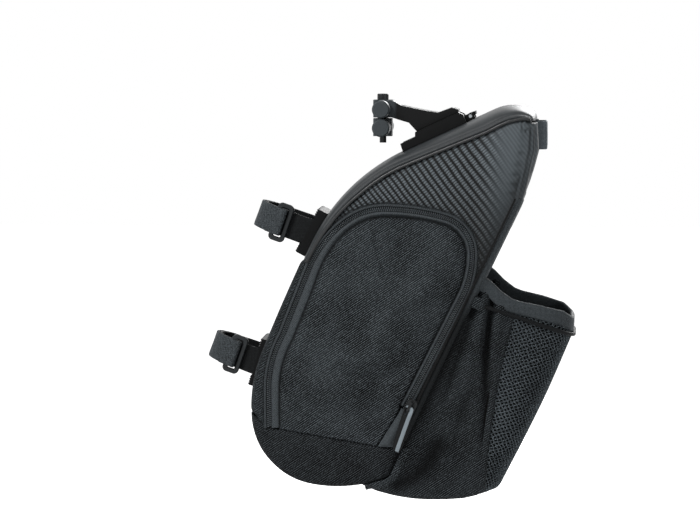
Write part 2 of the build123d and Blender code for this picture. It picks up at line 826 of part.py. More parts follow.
with BuildPart() as lever_pin:
    with BuildSketch(pivot_plane):
        Circle(pin_diameter / 2)
    extrude(amount=ear_outer, both=True)
keep("lever_pin", lever_pin.part)

spring_radius = pin_diameter / 2 + pin_clearance + spring_wire / 2
with BuildPart() as lever_spring:
    for turn in range(spring_turns):
        across = (turn - (spring_turns - 1) / 2) * spring_wire * 0.95
        with Locations(pivot_plane.offset(across)):
            Torus(spring_radius, spring_wire / 2)
    with BuildSketch(Plane(origin=pivot_plane.from_local_coords((0, -spring_radius, 0)), z_dir=-lid_side.x_dir)):
        Circle(spring_wire / 2)
    extrude(amount=spring_leg)
keep("lever_spring", lever_spring.part)

# ---------------------------------------------------------------- inside the lid and the front
with BuildPart() as screw_holes:
    with BuildSketch(lid_top.offset(bracket_base)):
        with Locations((screw_middle, 0)):
            with GridLocations(screw_spacing_along, screw_spacing_across, 2, 2):
                Circle(screw_diameter / 2 + screw_hole_clearance)
    extrude(amount=-screw_length)
keep("top_lid", panel(body_wall.part, lid_zone, less=[screw_holes.part]))

with BuildPart() as backing_plate:
    with BuildSketch(lid_top.offset(-wall)):
        with Locations((screw_middle, 0)):
            RectangleRounded(
                screw_spacing_along + 2 * plate_margin, screw_spacing_across + 2 * plate_margin, plate_margin / 2
            )
            with GridLocations(screw_spacing_along, screw_spacing_across, 2, 2):
                Circle(screw_diameter / 2, mode=Mode.SUBTRACT)
    extrude(amount=-plate_thickness)
keep("backing_plate", backing_plate.part)

with BuildPart() as bracket_screws:
    with BuildSketch(lid_top.offset(bracket_base)):
        with Locations((screw_middle, 0)):
            with GridLocations(screw_spacing_along, screw_spacing_across, 2, 2):
                Circle(screw_diameter / 2)
    extrude(amount=-screw_length)
    with Locations(lid_top.offset(bracket_base)):
        with Locations((screw_middle, 0)):
            with GridLocations(screw_spacing_along, screw_spacing_across, 2, 2):
                head_height = (screw_head_diameter - screw_diameter) / 2
                Cone(
                    screw_diameter / 2,
                    screw_head_diameter / 2 - screw_hole_clearance,
                    head_height - screw_hole_clearance,
                    align=(Align.CENTER, Align.CENTER, Align.MAX),
                )
keep("bracket_screws", bracket_screws.part)

with BuildPart() as stiffener_layer:
    add(body_form(wall))
    add(body_form(wall + stiffener_thickness), mode=Mode.SUBTRACT)
stiffener_zone = zone(
    (view_front, stiffener_rows[0]),
    (-40, stiffener_rows[0]),
    (-60, stiffener_rows[1]),
    (view_front, stiffener_rows[1]),
)
keep(
    "front_stiffener", panel(stiffener_layer.part, stiffener_zone, -stiffener_half_width, stiffener_half_width)
)

# ---------------------------------------------------------------- zip slider and its pull
zip_along = (on_side(zip_turn) - on_side(zip_end)).normalized()
slider_plane = Plane(
    origin=on_side(zip_end, chain_height + slider_clearance) + zip_along * (slider_length / 4),
    x_dir=zip_along,
    z_dir=side_normal,
)
pull_hang = Vector(-sin(radians(pull_lean)), 0, -cos(radians(pull_lean)))
pull_down = (pull_hang - side_normal * pull_hang.dot(side_normal)).normalized()
pull_plane = Plane(
    origin=slider_plane.origin + side_normal * (slider_height + bridge_space / 2),
    x_dir=pull_down,
    z_dir=side_normal,
)

with BuildPart() as zip_slider:
    with BuildSketch(slider_plane):
        RectangleRounded(slider_length, slider_width, slider_width / 2.5)
    extrude(amount=slider_height)
    chamfer(zip_slider.faces().sort_by(Axis.Y)[0].edges(), 0.5)
    bridge_side = Plane(origin=slider_plane.origin, x_dir=zip_along, z_dir=slider_plane.y_dir)
    with BuildSketch(bridge_side):
        with Locations((0, -slider_height)):
            RectangleRounded(bridge_length, 2 * (bridge_space + bridge_thickness), 1.5)
        with Locations((0, -slider_height)):
            Rectangle(bridge_length - 2 * bridge_thickness, 2 * bridge_space, mode=Mode.SUBTRACT)
        Rectangle(very_wide, 2 * slider_height - 0.4, mode=Mode.SUBTRACT)
    extrude(amount=bridge_width / 2, both=True)
keep("zip_slider", zip_slider.part)

with BuildPart() as zip_pull:
    with BuildSketch(pull_plane.offset(-pull_thickness / 2)):
        with Locations(((pull_length - pull_band) / 2, 0)):
            RectangleRounded(pull_length, pull_width, pull_width / 2.2)
            RectangleRounded(
                pull_length - 2 * pull_band,
                pull_width - 2 * pull_band,
                pull_width / 2.2 - pull_band,
                mode=Mode.SUBTRACT,
            )
        with Locations((pull_length * 0.6, 0)):
            Rectangle(pull_length * 0.7, pull_width - pull_band)
    extrude(amount=pull_thickness)
keep("zip_pull", zip_pull.part)

# ---------------------------------------------------------------- export and places for the record
for name, part in pieces.items():
    export_step(part, f"parts/{name}.step")
    print(name, len(part.solids()), round(part.volume))


def told(what, vector):
    print(what, [round(value, 4) for value in vector])


hinge_line = on_side(hinge_rear) - on_side(hinge_front)
told("door hinge point", on_side(hinge_front))
told("door hinge axis", hinge_line.normalized())
told("zip axis", zip_along)
told("pull pivot", pull_plane.origin)
told("pull axis", pull_plane.y_dir)
told("lever pivot", pivot_plane.origin)
told("lid direction", lid_side.x_dir)
told("side normal", side_normal)
for place, drop in strap_drops.items():
    told(f"strap {place} middle", Vector(post_point[0], 0, post_point[1]) + post_axis * drop)
told("post axis", post_axis)
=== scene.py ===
"""Looks for the bicycle saddle bag: fabric panels, zip, moulded lid, pocket, straps and clamp.

Points in side view are (X, Z) in millimetres. Every mesh is scaled to metres as it is made.
"""

from math import atan2, cos, pi, radians, sin

import bmesh
import bpy
import numpy as np
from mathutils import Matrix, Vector, geometry


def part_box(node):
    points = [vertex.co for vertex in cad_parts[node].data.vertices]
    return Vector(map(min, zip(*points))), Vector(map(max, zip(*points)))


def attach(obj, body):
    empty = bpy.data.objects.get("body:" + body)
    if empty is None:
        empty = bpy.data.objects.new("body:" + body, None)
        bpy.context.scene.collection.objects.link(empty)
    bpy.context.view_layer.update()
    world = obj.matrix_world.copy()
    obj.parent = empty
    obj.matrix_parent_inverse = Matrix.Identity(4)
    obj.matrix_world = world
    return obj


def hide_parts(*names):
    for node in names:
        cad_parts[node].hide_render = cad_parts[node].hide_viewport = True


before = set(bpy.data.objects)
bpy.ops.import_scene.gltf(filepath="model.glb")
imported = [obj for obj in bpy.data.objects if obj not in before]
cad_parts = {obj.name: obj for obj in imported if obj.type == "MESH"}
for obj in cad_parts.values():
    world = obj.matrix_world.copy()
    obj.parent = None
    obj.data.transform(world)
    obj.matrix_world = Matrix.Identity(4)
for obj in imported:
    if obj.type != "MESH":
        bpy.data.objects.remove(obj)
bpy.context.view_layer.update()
MM = 0.001
SIDES = ((-1, "left"), (1, "right"))

# ---------------------------------------------------------------- side-view curves
tail_top = (113.0, 4.5)
hump_start = (84.0, 6.8)
lid_toe = (16.0, -24.4)
brow_end = (-52.0, -92.0)
front_end = (-87.0, -172.0)
nose = (-95.0, -220.0)
keel = (-51.0, -269.0)
heel = (8.0, -262.0)
back_bend = (105.0, -60.0)
tail_low = (115.0, -22.0)
tail_corner = (115.0, 0.0)
zip_start = (-84.7, -224.0)
zip_end = (23.4, -211.7)
garage_top = (15.3, -214.6)
garage_side = (22.6, -221.2)
garage_foot = (10.6, -239.4)
hinge_front = (-83.0, -227.5)
hinge_rear = (-0.4, -239.4)
back_lean = radians(25.2)
plan_origin = (77.0, -114.0)
rear_half_width = 64.0
taper = 22.0 / 128.0


def unit(vector):
    vector = np.asarray(vector, float)
    return vector / np.linalg.norm(vector)


def arc(start, end, tangent, step=1.0):
    """Points of the arc that leaves start along tangent and reaches end, and its last tangent."""
    start, end, tangent = np.array(start, float), np.array(end, float), unit(tangent)
    chord = end - start
    length = np.linalg.norm(chord)
    along = chord / length
    side = tangent[0] * along[1] - tangent[1] * along[0]
    half = atan2(side, float(tangent @ along))
    last = 2 * (tangent @ along) * along - tangent
    count = max(2, int(length / step))
    if abs(half) < 1e-4:
        return [start + chord * k / count for k in range(1, count + 1)], last
    radius = length / (2 * sin(half))
    centre = start + radius * np.array([-tangent[1], tangent[0]])
    spoke = start - centre
    points = []
    for k in range(1, count + 1):
        turn = 2 * half * k / count
        rotated = (spoke[0] * cos(turn) - spoke[1] * sin(turn), spoke[0] * sin(turn) + spoke[1] * cos(turn))
        points.append(centre + rotated)
    return points, last


def arcs(start, tangent, stops):
    """A chain of arcs, each leaving the last one smoothly."""
    points = [np.array(start, float)]
    for stop in stops:
        more, tangent = arc(points[-1], stop, tangent)
        points += more
    return points


def run_of(points):
    """Distance along a polyline at each of its points."""
    return np.concatenate([[0], np.cumsum(np.linalg.norm(np.diff(points, axis=0), axis=1))])


def between(wanted, known, values):
    """Rows of values, given at known, read off at wanted."""
    return np.column_stack([np.interp(wanted, known, column) for column in np.asarray(values).T])


def resample(points, step, closed=False):
    """Points evenly spaced along a polyline, about step apart."""
    points = np.array(points, float)
    if closed:
        points = np.vstack([points, points[:1]])
    run = run_of(points)
    count = max(2, int(round(run[-1] / step)))
    places = np.linspace(0, run[-1], count + 1)
    return between(places[:-1] if closed else places, run, points)


def eased(values, times, weight=1, closed=False):
    """Values averaged with their neighbours so many times. The ends of an open row stay."""
    for _ in range(times):
        mean = (np.roll(values, 1, axis=0) + weight * values + np.roll(values, -1, axis=0)) / (2 + weight)
        if not closed:
            mean[0], mean[-1] = values[0], values[-1]
        values = mean
    return values


def tangents(points, closed=False):
    """Unit vectors along a curve."""
    if closed:
        steps = np.roll(points, -1, axis=0) - np.roll(points, 1, axis=0)
    else:
        steps = np.gradient(points, axis=0)
    return steps / np.linalg.norm(steps, axis=1)[:, None]


def shifted(points, distance, closed=False):
    """A curve moved to its left by distance."""
    along = tangents(points, closed)
    return points + np.reshape(distance, (-1, 1)) * np.column_stack([-along[:, 1], along[:, 0]])


def smooth(low, high, value):
    """0 up to low, 1 from high on, and an even rise between them. It falls if low is above high."""
    t = np.clip((value - low) / (high - low), 0, 1)
    return t * t * (3 - 2 * t)


def nearest(points, curve):
    """Distance from each point to a sampled curve, and the index of its nearest sample."""
    points, curve = np.asarray(points, float), np.asarray(curve, float)
    gaps = ((points[:, None, :] - curve[None, :, :]) ** 2).sum(axis=2)
    index = gaps.argmin(axis=1)
    return np.sqrt(gaps[np.arange(len(points)), index]), index


def inside(points, polygon):
    """Even-odd test of points against a closed polygon."""
    points, polygon = np.asarray(points, float), np.asarray(polygon, float)
    x, y = points[:, 0][:, None], points[:, 1][:, None]
    x0, y0 = polygon[:, 0], polygon[:, 1]
    x1, y1 = np.roll(x0, -1), np.roll(y0, -1)
    crosses = (y0 > y) != (y1 > y)
    with np.errstate(divide="ignore", invalid="ignore"):
        at = (x1 - x0) * (y - y0) / (y1 - y0) + x0
    return (crosses & (x < at)).sum(axis=1) % 2 == 1


# The body's outline, from the tail's corner round the lid, front and bottom to the heel and back up.
lid_run = [np.array(hump_start, float)]
hump, _ = arc(hump_start, tail_top, np.subtract(hump_start, lid_toe))
brow = arcs(lid_toe, np.subtract(lid_toe, hump_start), [brow_end, front_end, nose, keel, heel])
outline = resample([tail_corner] + hump[::-1] + lid_run + brow + [back_bend, tail_low], 1.0, closed=True)
outline = eased(outline, 6, weight=2, closed=True)
outline_along = tangents(outline, closed=True)
outward = np.column_stack([outline_along[:, 1], -outline_along[:, 0]])
if outward[0][0] < 0:
    outward = -outward
corners = (tail_corner, lid_toe, brow_end, nose, heel, back_bend)
at_tail, at_toe, at_brow, at_nose, at_heel, at_bend = nearest(corners, outline)[1]

# The zip's arch, up the front, over the top and down the rear leg.
front_leg, haunch, haunch_rise = (-74.5, -158.0), (-55.5, -110.0), (19.0, 48.0)
arch = arcs(zip_start, (-0.01, 1), [(-85.0, -200.0), front_leg])
arch += arc(front_leg, haunch, haunch_rise)[0]
over_top = [(-26.1, -72.1), (5.0, -62.0), (50.0, -68.0), (72.5, -97.0), (64.5, -131.0)]
arch += arcs(haunch, haunch_rise, over_top)[1:]
arch = resample(arch + [np.array(zip_end, float)], 1.0)

# How far the side panels round over before they meet the outline: wide at the back, tight at the lid.
edge_radius = np.full(len(outline), 8.0)
around = np.arange(len(outline))
edge_radius[around < at_toe] = 6.0
edge_radius[around > at_heel] = 13.0
edge_radius = eased(edge_radius, 40, closed=True)


def to_plan(points):
    """Side-view points as (depth behind the back, height up the back)."""
    moved = np.asarray(points, float) - plan_origin
    u = moved[:, 0] * cos(back_lean) - moved[:, 1] * sin(back_lean)
    return np.column_stack([u, moved[:, 0] * sin(back_lean) + moved[:, 1] * cos(back_lean)])


def half_width(points):
    """Half the body's width at side-view points, clear of its rounded edges."""
    return rear_half_width + taper * to_plan(points)[:, 0]


def on_side(points, proud=0.0, side=-1):
    """The body's side surface at side-view points, raised by proud along its own outward normal."""
    points = np.asarray(points, float)
    gap, index = nearest(points, outline)
    radius = edge_radius[index]
    turn = np.clip(1 - gap / radius, 0, 1)
    flat = np.sqrt(1 - turn * turn)
    proud = np.broadcast_to(proud, len(points))
    moved = points + outward[index] * (proud * turn)[:, None]
    y = half_width(points) - radius * (1 - flat) + proud * flat
    return np.column_stack([moved[:, 0], side * y, moved[:, 1]])


# ---------------------------------------------------------------- meshes
def shown(name, data, finish, body, slot):
    """An object for a mesh or curve, with its material and body. slot is not used."""
    made = bpy.data.objects.new(name, data)
    bpy.context.scene.collection.objects.link(made)
    data.materials.append(finish)
    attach(made, body)
    return made


def make(name, verts, faces, finish, body, slot):
    """A smooth-shaded mesh object from points in millimetres."""
    mesh = bpy.data.meshes.new(name)
    mesh.from_pydata([tuple(v) for v in np.asarray(verts) * MM], [], [tuple(map(int, f)) for f in faces])
    mesh.polygons.foreach_set("use_smooth", [True] * len(mesh.polygons))
    mesh.validate()
    return shown(name, mesh, finish, body, slot)


def fill(boundary, rows=(), pitch=3.0):
    """Triangles inside a closed side-view boundary, with its own points, inner rows and a grid."""
    boundary = np.asarray(boundary, float)
    points = [boundary]
    x, z = boundary.T
    area = 0.5 * np.sum(x * np.roll(z, -1) - np.roll(x, -1) * z)
    for depth in rows:
        row = shifted(boundary, depth if area > 0 else -depth, closed=True)
        gap, _ = nearest(row, boundary)
        points.append(row[inside(row, boundary) & (gap > 0.93 * depth)])
    low, high = boundary.min(axis=0), boundary.max(axis=0)
    xs, zs = np.arange(low[0], high[0], pitch), np.arange(low[1], high[1], pitch * 0.866)
    grid = np.array([(x + (k % 2) * pitch / 2, z) for k, z in enumerate(zs) for x in xs])
    gap, _ = nearest(grid, boundary)
    deepest = max(rows) if len(rows) else 0
    points.append(grid[inside(grid, boundary) & (gap > deepest + 0.6 * pitch)])
    every = np.vstack(points)
    count = len(boundary)
    edges = [(k, (k + 1) % count) for k in range(count)]
    verts, _, faces, *_ = geometry.delaunay_2d_cdt([Vector(p) for p in every], edges, [], 1, 1e-4)
    return np.array([tuple(v) for v in verts]), [tuple(f) for f in faces]


def grid_faces(rows, columns, closed=False):
    """Quads of a grid of points stored row by row."""
    faces = []
    for low in range(0, (rows - 1) * columns, columns):
        for first in range(columns if closed else columns - 1):
            second = (first + 1) % columns
            faces.append((low + first, low + second, low + columns + second, low + columns + first))
    return faces


def thicken(made, thickness, offset=-1.0):
    """Gives a sheet its thickness, inwards from the face that shows."""
    shell = made.modifiers.new("thickness", "SOLIDIFY")
    shell.thickness = thickness * MM
    shell.offset = offset
    shell.use_even_offset = False
    return made


def turned_out(made, towards):
    """Flips a mesh's faces if they don't face towards, a direction that most of them should have."""
    total = Vector()
    for face in made.data.polygons:
        total += face.normal * face.area
    if total.dot(Vector(towards)) < 0:
        made.data.flip_normals()
    return made


def regular(made, weld=0.0):
    """Merges points that are closer than weld, and turns all the faces one way."""
    mesh = bmesh.new()
    mesh.from_mesh(made.data)
    if weld:
        bmesh.ops.remove_doubles(mesh, verts=mesh.verts, dist=weld * MM)
    bmesh.ops.recalc_face_normals(mesh, faces=mesh.faces)
    mesh.to_mesh(made.data)
    mesh.free()
    return made


def finer(made):
    """One subdivision, so that folds and wrinkles shade smoothly."""
    surface = made.modifiers.new("subdivision", "SUBSURF")
    surface.levels = surface.render_levels = 1
    surface.boundary_smooth = "PRESERVE_CORNERS"


def sheet(name, rows, finish, slot, towards=(0, 0, 0), thickness=0.0, body="bag"):
    """A surface through rows of points. Its face is turned towards a direction, its thickness behind it."""
    faces = grid_faces(len(rows), len(rows[0]))
    made = turned_out(make(name, np.vstack(rows), faces, finish, body, slot), towards)
    return thicken(made, thickness) if thickness else made


def band(name, curve, steps, finish, body, slot, thickness):
    """A strip along a side-view curve. steps are (distance to the curve's left, height) across it."""
    rows = [on_side(shifted(curve, distance), height) for distance, height in steps]
    return sheet(name, rows, finish, slot, (0, -1, 0), thickness, body)


def tube(name, places, radius, finish, body, slot, kind="POLY", rounds=4):
    """A round cord or piping through 3-D points in millimetres, or drawn smoothly past them as NURBS."""
    curve = bpy.data.curves.new(name, "CURVE")
    curve.dimensions = "3D"
    curve.bevel_depth = radius * MM
    curve.bevel_resolution = rounds
    curve.use_fill_caps = True
    spline = curve.splines.new(kind)
    spline.points.add(len(places) - 1)
    spline.points.foreach_set("co", np.column_stack([np.asarray(places) * MM, np.ones(len(places))]).ravel())
    spline.use_smooth = True
    if kind == "NURBS":
        spline.order_u = 3
        spline.use_endpoint_u = True
        spline.resolution_u = 16
    return shown(name, curve, finish, body, slot)


def beads(name, centres, along, out, size, finish, body, slot):
    """Small rounded lumps, such as stitches or a zip's teeth. size is half their length, width and height."""
    segments, rings = 6, 4
    template = []
    for ring in range(rings + 1):
        lift = -pi / 2 + pi * ring / rings
        for k in range(segments):
            turn = 2 * pi * k / segments
            template.append((cos(lift) * cos(turn), cos(lift) * sin(turn), sin(lift)))
    template = np.array(template) * size
    shell = grid_faces(rings + 1, segments, closed=True)
    centres, along, out = (np.asarray(v, float) for v in (centres, along, out))
    along = along / np.linalg.norm(along, axis=1)[:, None]
    across = np.cross(out, along)
    across /= np.linalg.norm(across, axis=1)[:, None]
    axes = np.stack([along, across, np.cross(along, across)], axis=1)
    verts = (centres[:, None, :] + np.einsum("ti,nij->ntj", template, axes)).reshape(-1, 3)
    faces = [tuple(np.add(face, len(template) * k)) for k in range(len(centres)) for face in shell]
    return make(name, verts, faces, finish, body, slot)


def stitches(name, curve, slot, proud=0.1, length=1.1, gap=0.9, side=-1):
    """A row of thread stitches along a side-view curve. length is half a stitch."""
    spaced = resample(curve, 2 * length + gap)
    at, above = on_side(spaced, proud, side), on_side(spaced, proud + 1.0, side)
    return beads(name, at, np.gradient(at, axis=0), above - at, (length, 0.28, 0.28), thread, "bag", slot)


# ---------------------------------------------------------------- materials
class Finish:
    """One procedural material, with short calls for its nodes. Lengths are in millimetres."""

    def __init__(self, name, roughness, specular=0.5, metallic=0.0):
        self.material = bpy.data.materials.new(name)
        self.material.use_nodes = True
        self.tree = self.material.node_tree
        self.shader = self.tree.nodes["Principled BSDF"]
        self.set("Roughness", roughness)
        self.set("Specular IOR Level", specular)
        self.set("Metallic", metallic)
        self.place = self.node("ShaderNodeTexCoord").outputs["Object"]
        self.split = self.apart(self.place)

    def feed(self, socket, value):
        """Links a socket to another node's output, or sets it to a constant."""
        if isinstance(value, bpy.types.NodeSocket):
            self.tree.links.new(value, socket)
        else:
            socket.default_value = value

    def set(self, socket, value):
        self.feed(self.shader.inputs[socket], value)

    def node(self, kind, **settings):
        made = self.tree.nodes.new(kind)
        for key, value in settings.items():
            setattr(made, key, value)
        return made

    def math(self, operation, *values):
        made = self.node("ShaderNodeMath", operation=operation)
        for socket, value in zip(made.inputs, values):
            self.feed(socket, value)
        return made.outputs[0]

    def apart(self, vector):
        made = self.node("ShaderNodeSeparateXYZ")
        self.feed(made.inputs[0], vector)
        return made.outputs

    def turned(self, x, z):
        """x times the place's X plus z times its Z, in millimetres."""
        first = self.math("MULTIPLY", self.split[0], x / MM)
        second = self.math("MULTIPLY", self.split[2], z / MM)
        return self.math("ADD", first, second)

    def unrolled(self):
        """Lengths along and up the cloth: X and Z on the bag's sides, and Y and the slope elsewhere."""
        facing = self.apart(self.node("ShaderNodeTexCoord").outputs["Normal"])
        sideways = self.ramp(self.math("ABSOLUTE", facing[1]), 0.5, 0.75)
        across = self.blend(sideways, self.math("MULTIPLY", self.split[1], 1 / MM), self.turned(1, 0))
        return across, self.blend(sideways, self.turned(0.5, 0.9), self.turned(0, 1))

    def threads(self, lean):
        """Lengths across and along threads that lean by so many degrees on the cloth."""
        x, z = self.unrolled()
        right, up = cos(radians(lean)), sin(radians(lean))
        across = self.math("ADD", self.math("MULTIPLY", x, right), self.math("MULTIPLY", z, up))
        return across, self.math("ADD", self.math("MULTIPLY", x, -up), self.math("MULTIPLY", z, right))

    def wave(self, value, period, phase=0.0):
        """0 to 1 and back over each period of value."""
        angle = self.math("MULTIPLY_ADD", value, 2 * pi / period, phase)
        return self.math("MULTIPLY_ADD", self.math("SINE", angle), 0.5, 0.5)

    def ramp(self, value, low, high, first=0.0, last=1.0):
        """Taken smoothly from first, where value is low, to last, where it is high."""
        made = self.node("ShaderNodeMapRange", interpolation_type="SMOOTHSTEP")
        for socket, given in zip(made.inputs, (value, low, high, first, last)):
            self.feed(socket, given)
        return made.outputs[0]

    def noise(self, size, detail=2.0, rough=0.5):
        """Cloudy noise whose patches are about size across."""
        made = self.node("ShaderNodeTexNoise")
        made.inputs["Scale"].default_value = 1 / (size * MM)
        made.inputs["Detail"].default_value = detail
        made.inputs["Roughness"].default_value = rough
        self.feed(made.inputs["Vector"], self.place)
        return made.outputs["Fac"]

    def blend(self, share, first, second, kind="FLOAT"):
        made = self.node("ShaderNodeMix", data_type=kind)
        for socket, value in (("Factor", share), ("A", first), ("B", second)):
            self.feed(made.inputs[socket], value)
        return made.outputs["Result"]

    def mix(self, share, first, second):
        """blend for two colours."""
        return self.blend(share, first, second, "RGBA")

    def colour(self, shade, depth, tone):
        """The surface's colour: shade, drawn towards a dark tone as painted shade in the folds, seams and recesses
        marked on the mesh.
        """
        fold = self.node("ShaderNodeAttribute", attribute_name="painted_shade_amount").outputs["Fac"]
        self.set("Base Color", self.mix(self.math("MULTIPLY", fold, depth), shade, grey(tone)))

    def bump(self, height, distance, strength, under=None):
        """Relief of height, up to distance deep, over the normal of a finer relief under it."""
        made = self.node("ShaderNodeBump")
        made.inputs["Strength"].default_value = strength
        made.inputs["Distance"].default_value = distance * MM
        self.feed(made.inputs["Height"], height)
        if under is not None:
            self.feed(made.inputs["Normal"], under)
        self.set("Normal", made.outputs["Normal"])
        return made.outputs["Normal"]


def grey(level, cool=0.05):
    """A linear colour for an sRGB grey of 0 to 255, slightly cool as the real cloth is."""
    parts = [level * (1 - 1.4 * cool), level, level * (1 + 0.9 * cool)]
    return tuple((p / 255 / 12.92) if p < 10.3 else ((p / 255 + 0.055) / 1.055) ** 2.4 for p in parts) + (1.0,)


def woven(name, dark, light, pitch=1.35, roughness=0.75, depth=0.3, lean=34.0, slub=0.6, wobble=0.5):
    """Cloth of crossing threads: slanting rows of short stitches, uneven in brightness. Their pale tops are partly a
    painted sheen and the dark gaps partly painted shade.
    """
    cloth = Finish(name, roughness, specular=0.06)
    row, rise = cloth.threads(lean)
    uneven = cloth.noise(pitch * 1.2, 2.0, rough=0.7)
    rise = cloth.math("MULTIPLY_ADD", uneven, wobble * pitch, rise)
    slanting = cloth.wave(cloth.math("MULTIPLY_ADD", rise, 0.45, row), pitch)
    dots = cloth.math("MULTIPLY", slanting, cloth.wave(rise, 1.15 * pitch))
    speckle = cloth.ramp(uneven, 0.4, 0.68)
    patch = cloth.ramp(cloth.noise(26.0, 2.0), 0.3, 0.7)
    # Painted light: the pale dots are partly the threads' painted sheen, and the dark between them partly painted
    # shade.
    lit = cloth.ramp(cloth.math("MULTIPLY_ADD", speckle, slub * 0.6, dots), 0.28, 0.98)
    lit = cloth.math("MULTIPLY_ADD", patch, 0.1, cloth.math("MULTIPLY", lit, 0.9))
    cloth.colour(cloth.mix(lit, grey(dark), grey(light)), 0.85, 6)
    cloth.set("Roughness", cloth.math("MULTIPLY_ADD", speckle, -0.12, roughness + 0.06))
    cloth.bump(cloth.math("ADD", dots, cloth.math("MULTIPLY", speckle, 0.5)), depth, 0.8)
    return cloth.material


def ribbed_vinyl(name):
    """Vinyl embossed like twisted carbon cloth: slanting ribs of small beads, smooth towards the tail, with painted
    highlights on the rib tops and painted shade lower down.
    """
    vinyl = Finish(name, 0.42, specular=0.12)
    lean = radians(53.0)
    perp = vinyl.turned(sin(lean), cos(lean))
    along = vinyl.turned(cos(lean), -sin(lean))
    wander = vinyl.math("MULTIPLY_ADD", vinyl.noise(30.0, 2.0), 2.4, perp)
    widening = vinyl.math("MULTIPLY_ADD", wander, -0.00055, 0.235)
    rib = vinyl.wave(vinyl.math("MULTIPLY", wander, widening), 1.0)
    bead = vinyl.wave(vinyl.math("MULTIPLY_ADD", vinyl.noise(3.0), 1.2, along), 1.9)
    fade = vinyl.ramp(vinyl.split[0], 0.066, 0.098)
    beaded = vinyl.math("MULTIPLY_ADD", bead, 0.72, 0.28)
    rough_rib = vinyl.math("MULTIPLY", vinyl.math("POWER", rib, 0.8), beaded)
    smooth_rib = vinyl.math("MULTIPLY_ADD", vinyl.wave(wander, 2.5), 0.1, 0.42)
    height = vinyl.blend(fade, rough_rib, smooth_rib)
    # Painted light: paler near the top and painted darker lower down as shade, with the rib tops painted pale as a
    # highlight over near-black grooves.
    low = vinyl.ramp(vinyl.turned(0.35, -1), 50, 130)
    light = vinyl.mix(low, grey(106), grey(50))
    tone = vinyl.mix(vinyl.ramp(height, 0.03, 0.8), vinyl.mix(low, grey(10), grey(9)), light)
    vinyl.colour(tone, 0.8, 8)
    vinyl.set("Roughness", vinyl.math("MULTIPLY_ADD", vinyl.noise(1.2, 3.0), 0.16, 0.36))
    fine = vinyl.bump(vinyl.noise(0.7, 2.0), 0.1, 0.4)
    vinyl.bump(height, 0.75, 0.9, under=fine)
    return vinyl.material


def moulded(name, tone, roughness=0.45, grain=0.35, size=0.8, specular=0.2, wear=0.12, painted_highlight_tone=0):
    """Moulded plastic or rubber with a fine grain and paler, worn patches. The tone given for near x = 0 is a painted
    highlight.
    """
    plastic = Finish(name, roughness, specular=specular)
    pits = plastic.noise(size, 4.0, rough=0.6)
    cloudy = plastic.ramp(plastic.noise(14.0, 3.0), 0.35, 0.75)
    shade = plastic.mix(cloudy, grey(tone * (1 - wear)), grey(tone * (1 + wear)))
    # Painted highlight: the colour is paler near x = 0, where the rail jaw's ends face the light.
    if painted_highlight_tone:
        near = plastic.ramp(plastic.math("ABSOLUTE", plastic.split[0]), 11.5 * MM, 8.5 * MM)
        shade = plastic.mix(near, shade, grey(painted_highlight_tone))
    plastic.set("Base Color", shade)
    plastic.set("Roughness", plastic.math("MULTIPLY_ADD", pits, 0.2, roughness - 0.1))
    plastic.bump(pits, 0.12, grain)
    return plastic.material


def ribbon(name, dark, light, pitch=0.9, fuzz=0.4, lean=0.0, size=0.9):
    """Woven tape: fine crossing ribs with a little fuzz."""
    tape = Finish(name, 0.6, specular=0.08)
    first, second = tape.threads(lean)
    threads = tape.math("MULTIPLY", tape.wave(first, pitch), tape.wave(second, pitch))
    hair = tape.ramp(tape.noise(size, 3.0, rough=0.7), 0.3, 0.72)
    mixed = tape.blend(fuzz, threads, hair)
    tape.colour(tape.mix(mixed, grey(dark), grey(light)), 0.85, 5)
    tape.bump(mixed, 0.2, 0.7)
    return tape.material


def metal(name, tone, roughness=0.3):
    """Plated metal with fine drawn scratches."""
    steel = Finish(name, roughness, metallic=1.0)
    scratch = steel.noise(0.6, 5.0, rough=0.7)
    drawn = steel.ramp(scratch, 0.3, 0.7)
    steel.set("Base Color", steel.mix(drawn, grey(tone * 0.85, 0.02), grey(tone, 0.02)))
    steel.set("Roughness", steel.math("MULTIPLY_ADD", scratch, 0.25, roughness - 0.1))
    steel.bump(scratch, 0.05, 0.3)
    return steel.material


nylon = woven("ballistic nylon", 4, 104)
# Darker copies of the same nylon, as painted shade: for the gussets, back and pocket, and darkest for the bottom,
# which faces down.
nylon_in_painted_shade = woven("ballistic nylon of the gussets, in painted shade", 3, 92)
nylon_in_deeper_painted_shade = woven("ballistic nylon of the bottom, in painted shade", 3, 78)
vinyl = ribbed_vinyl("ribbed vinyl")
lid_skin = moulded("satin moulded lid", 44, roughness=0.46, grain=0.2, size=1.0, wear=0.06, specular=0.2)
piping_skin = moulded("glossy piping", 30, roughness=0.32, grain=0.2, size=1.2, specular=0.3)
groove_piping = moulded("black piping", 12, roughness=0.45, grain=0.2, size=1.2, specular=0.1)
binding_tape = ribbon("grosgrain", 36, 104, pitch=0.9, fuzz=0.25)
loop_tape = ribbon("grosgrain loop", 70, 150, pitch=0.9, fuzz=0.25)
zip_tape = ribbon("zip tape", 26, 92, pitch=1.1, fuzz=0.3, lean=35.0)
smooth_tape = ribbon("smooth zip tape", 34, 98, pitch=1.1, fuzz=0.5, size=0.7, lean=35.0)
coil_plastic = moulded("zip coil", 84, roughness=0.3, grain=0.1, specular=0.3)
thread = moulded("black thread", 56, roughness=0.6, grain=0.3, size=0.3, specular=0.1)
satin = woven("satin patch", 52, 104, pitch=0.8, roughness=0.5, depth=0.06, lean=20.0, slub=0.25)
knit = woven("knitted thread", 48, 158, pitch=1.0, lean=64.0, slub=0.5, depth=0.3, wobble=0.2)
knit_backing = woven("knit backing", 3, 16, pitch=1.3, depth=0.15)
webbing = ribbon("hook and loop webbing", 22, 84, pitch=1.4, fuzz=0.75, size=0.9)
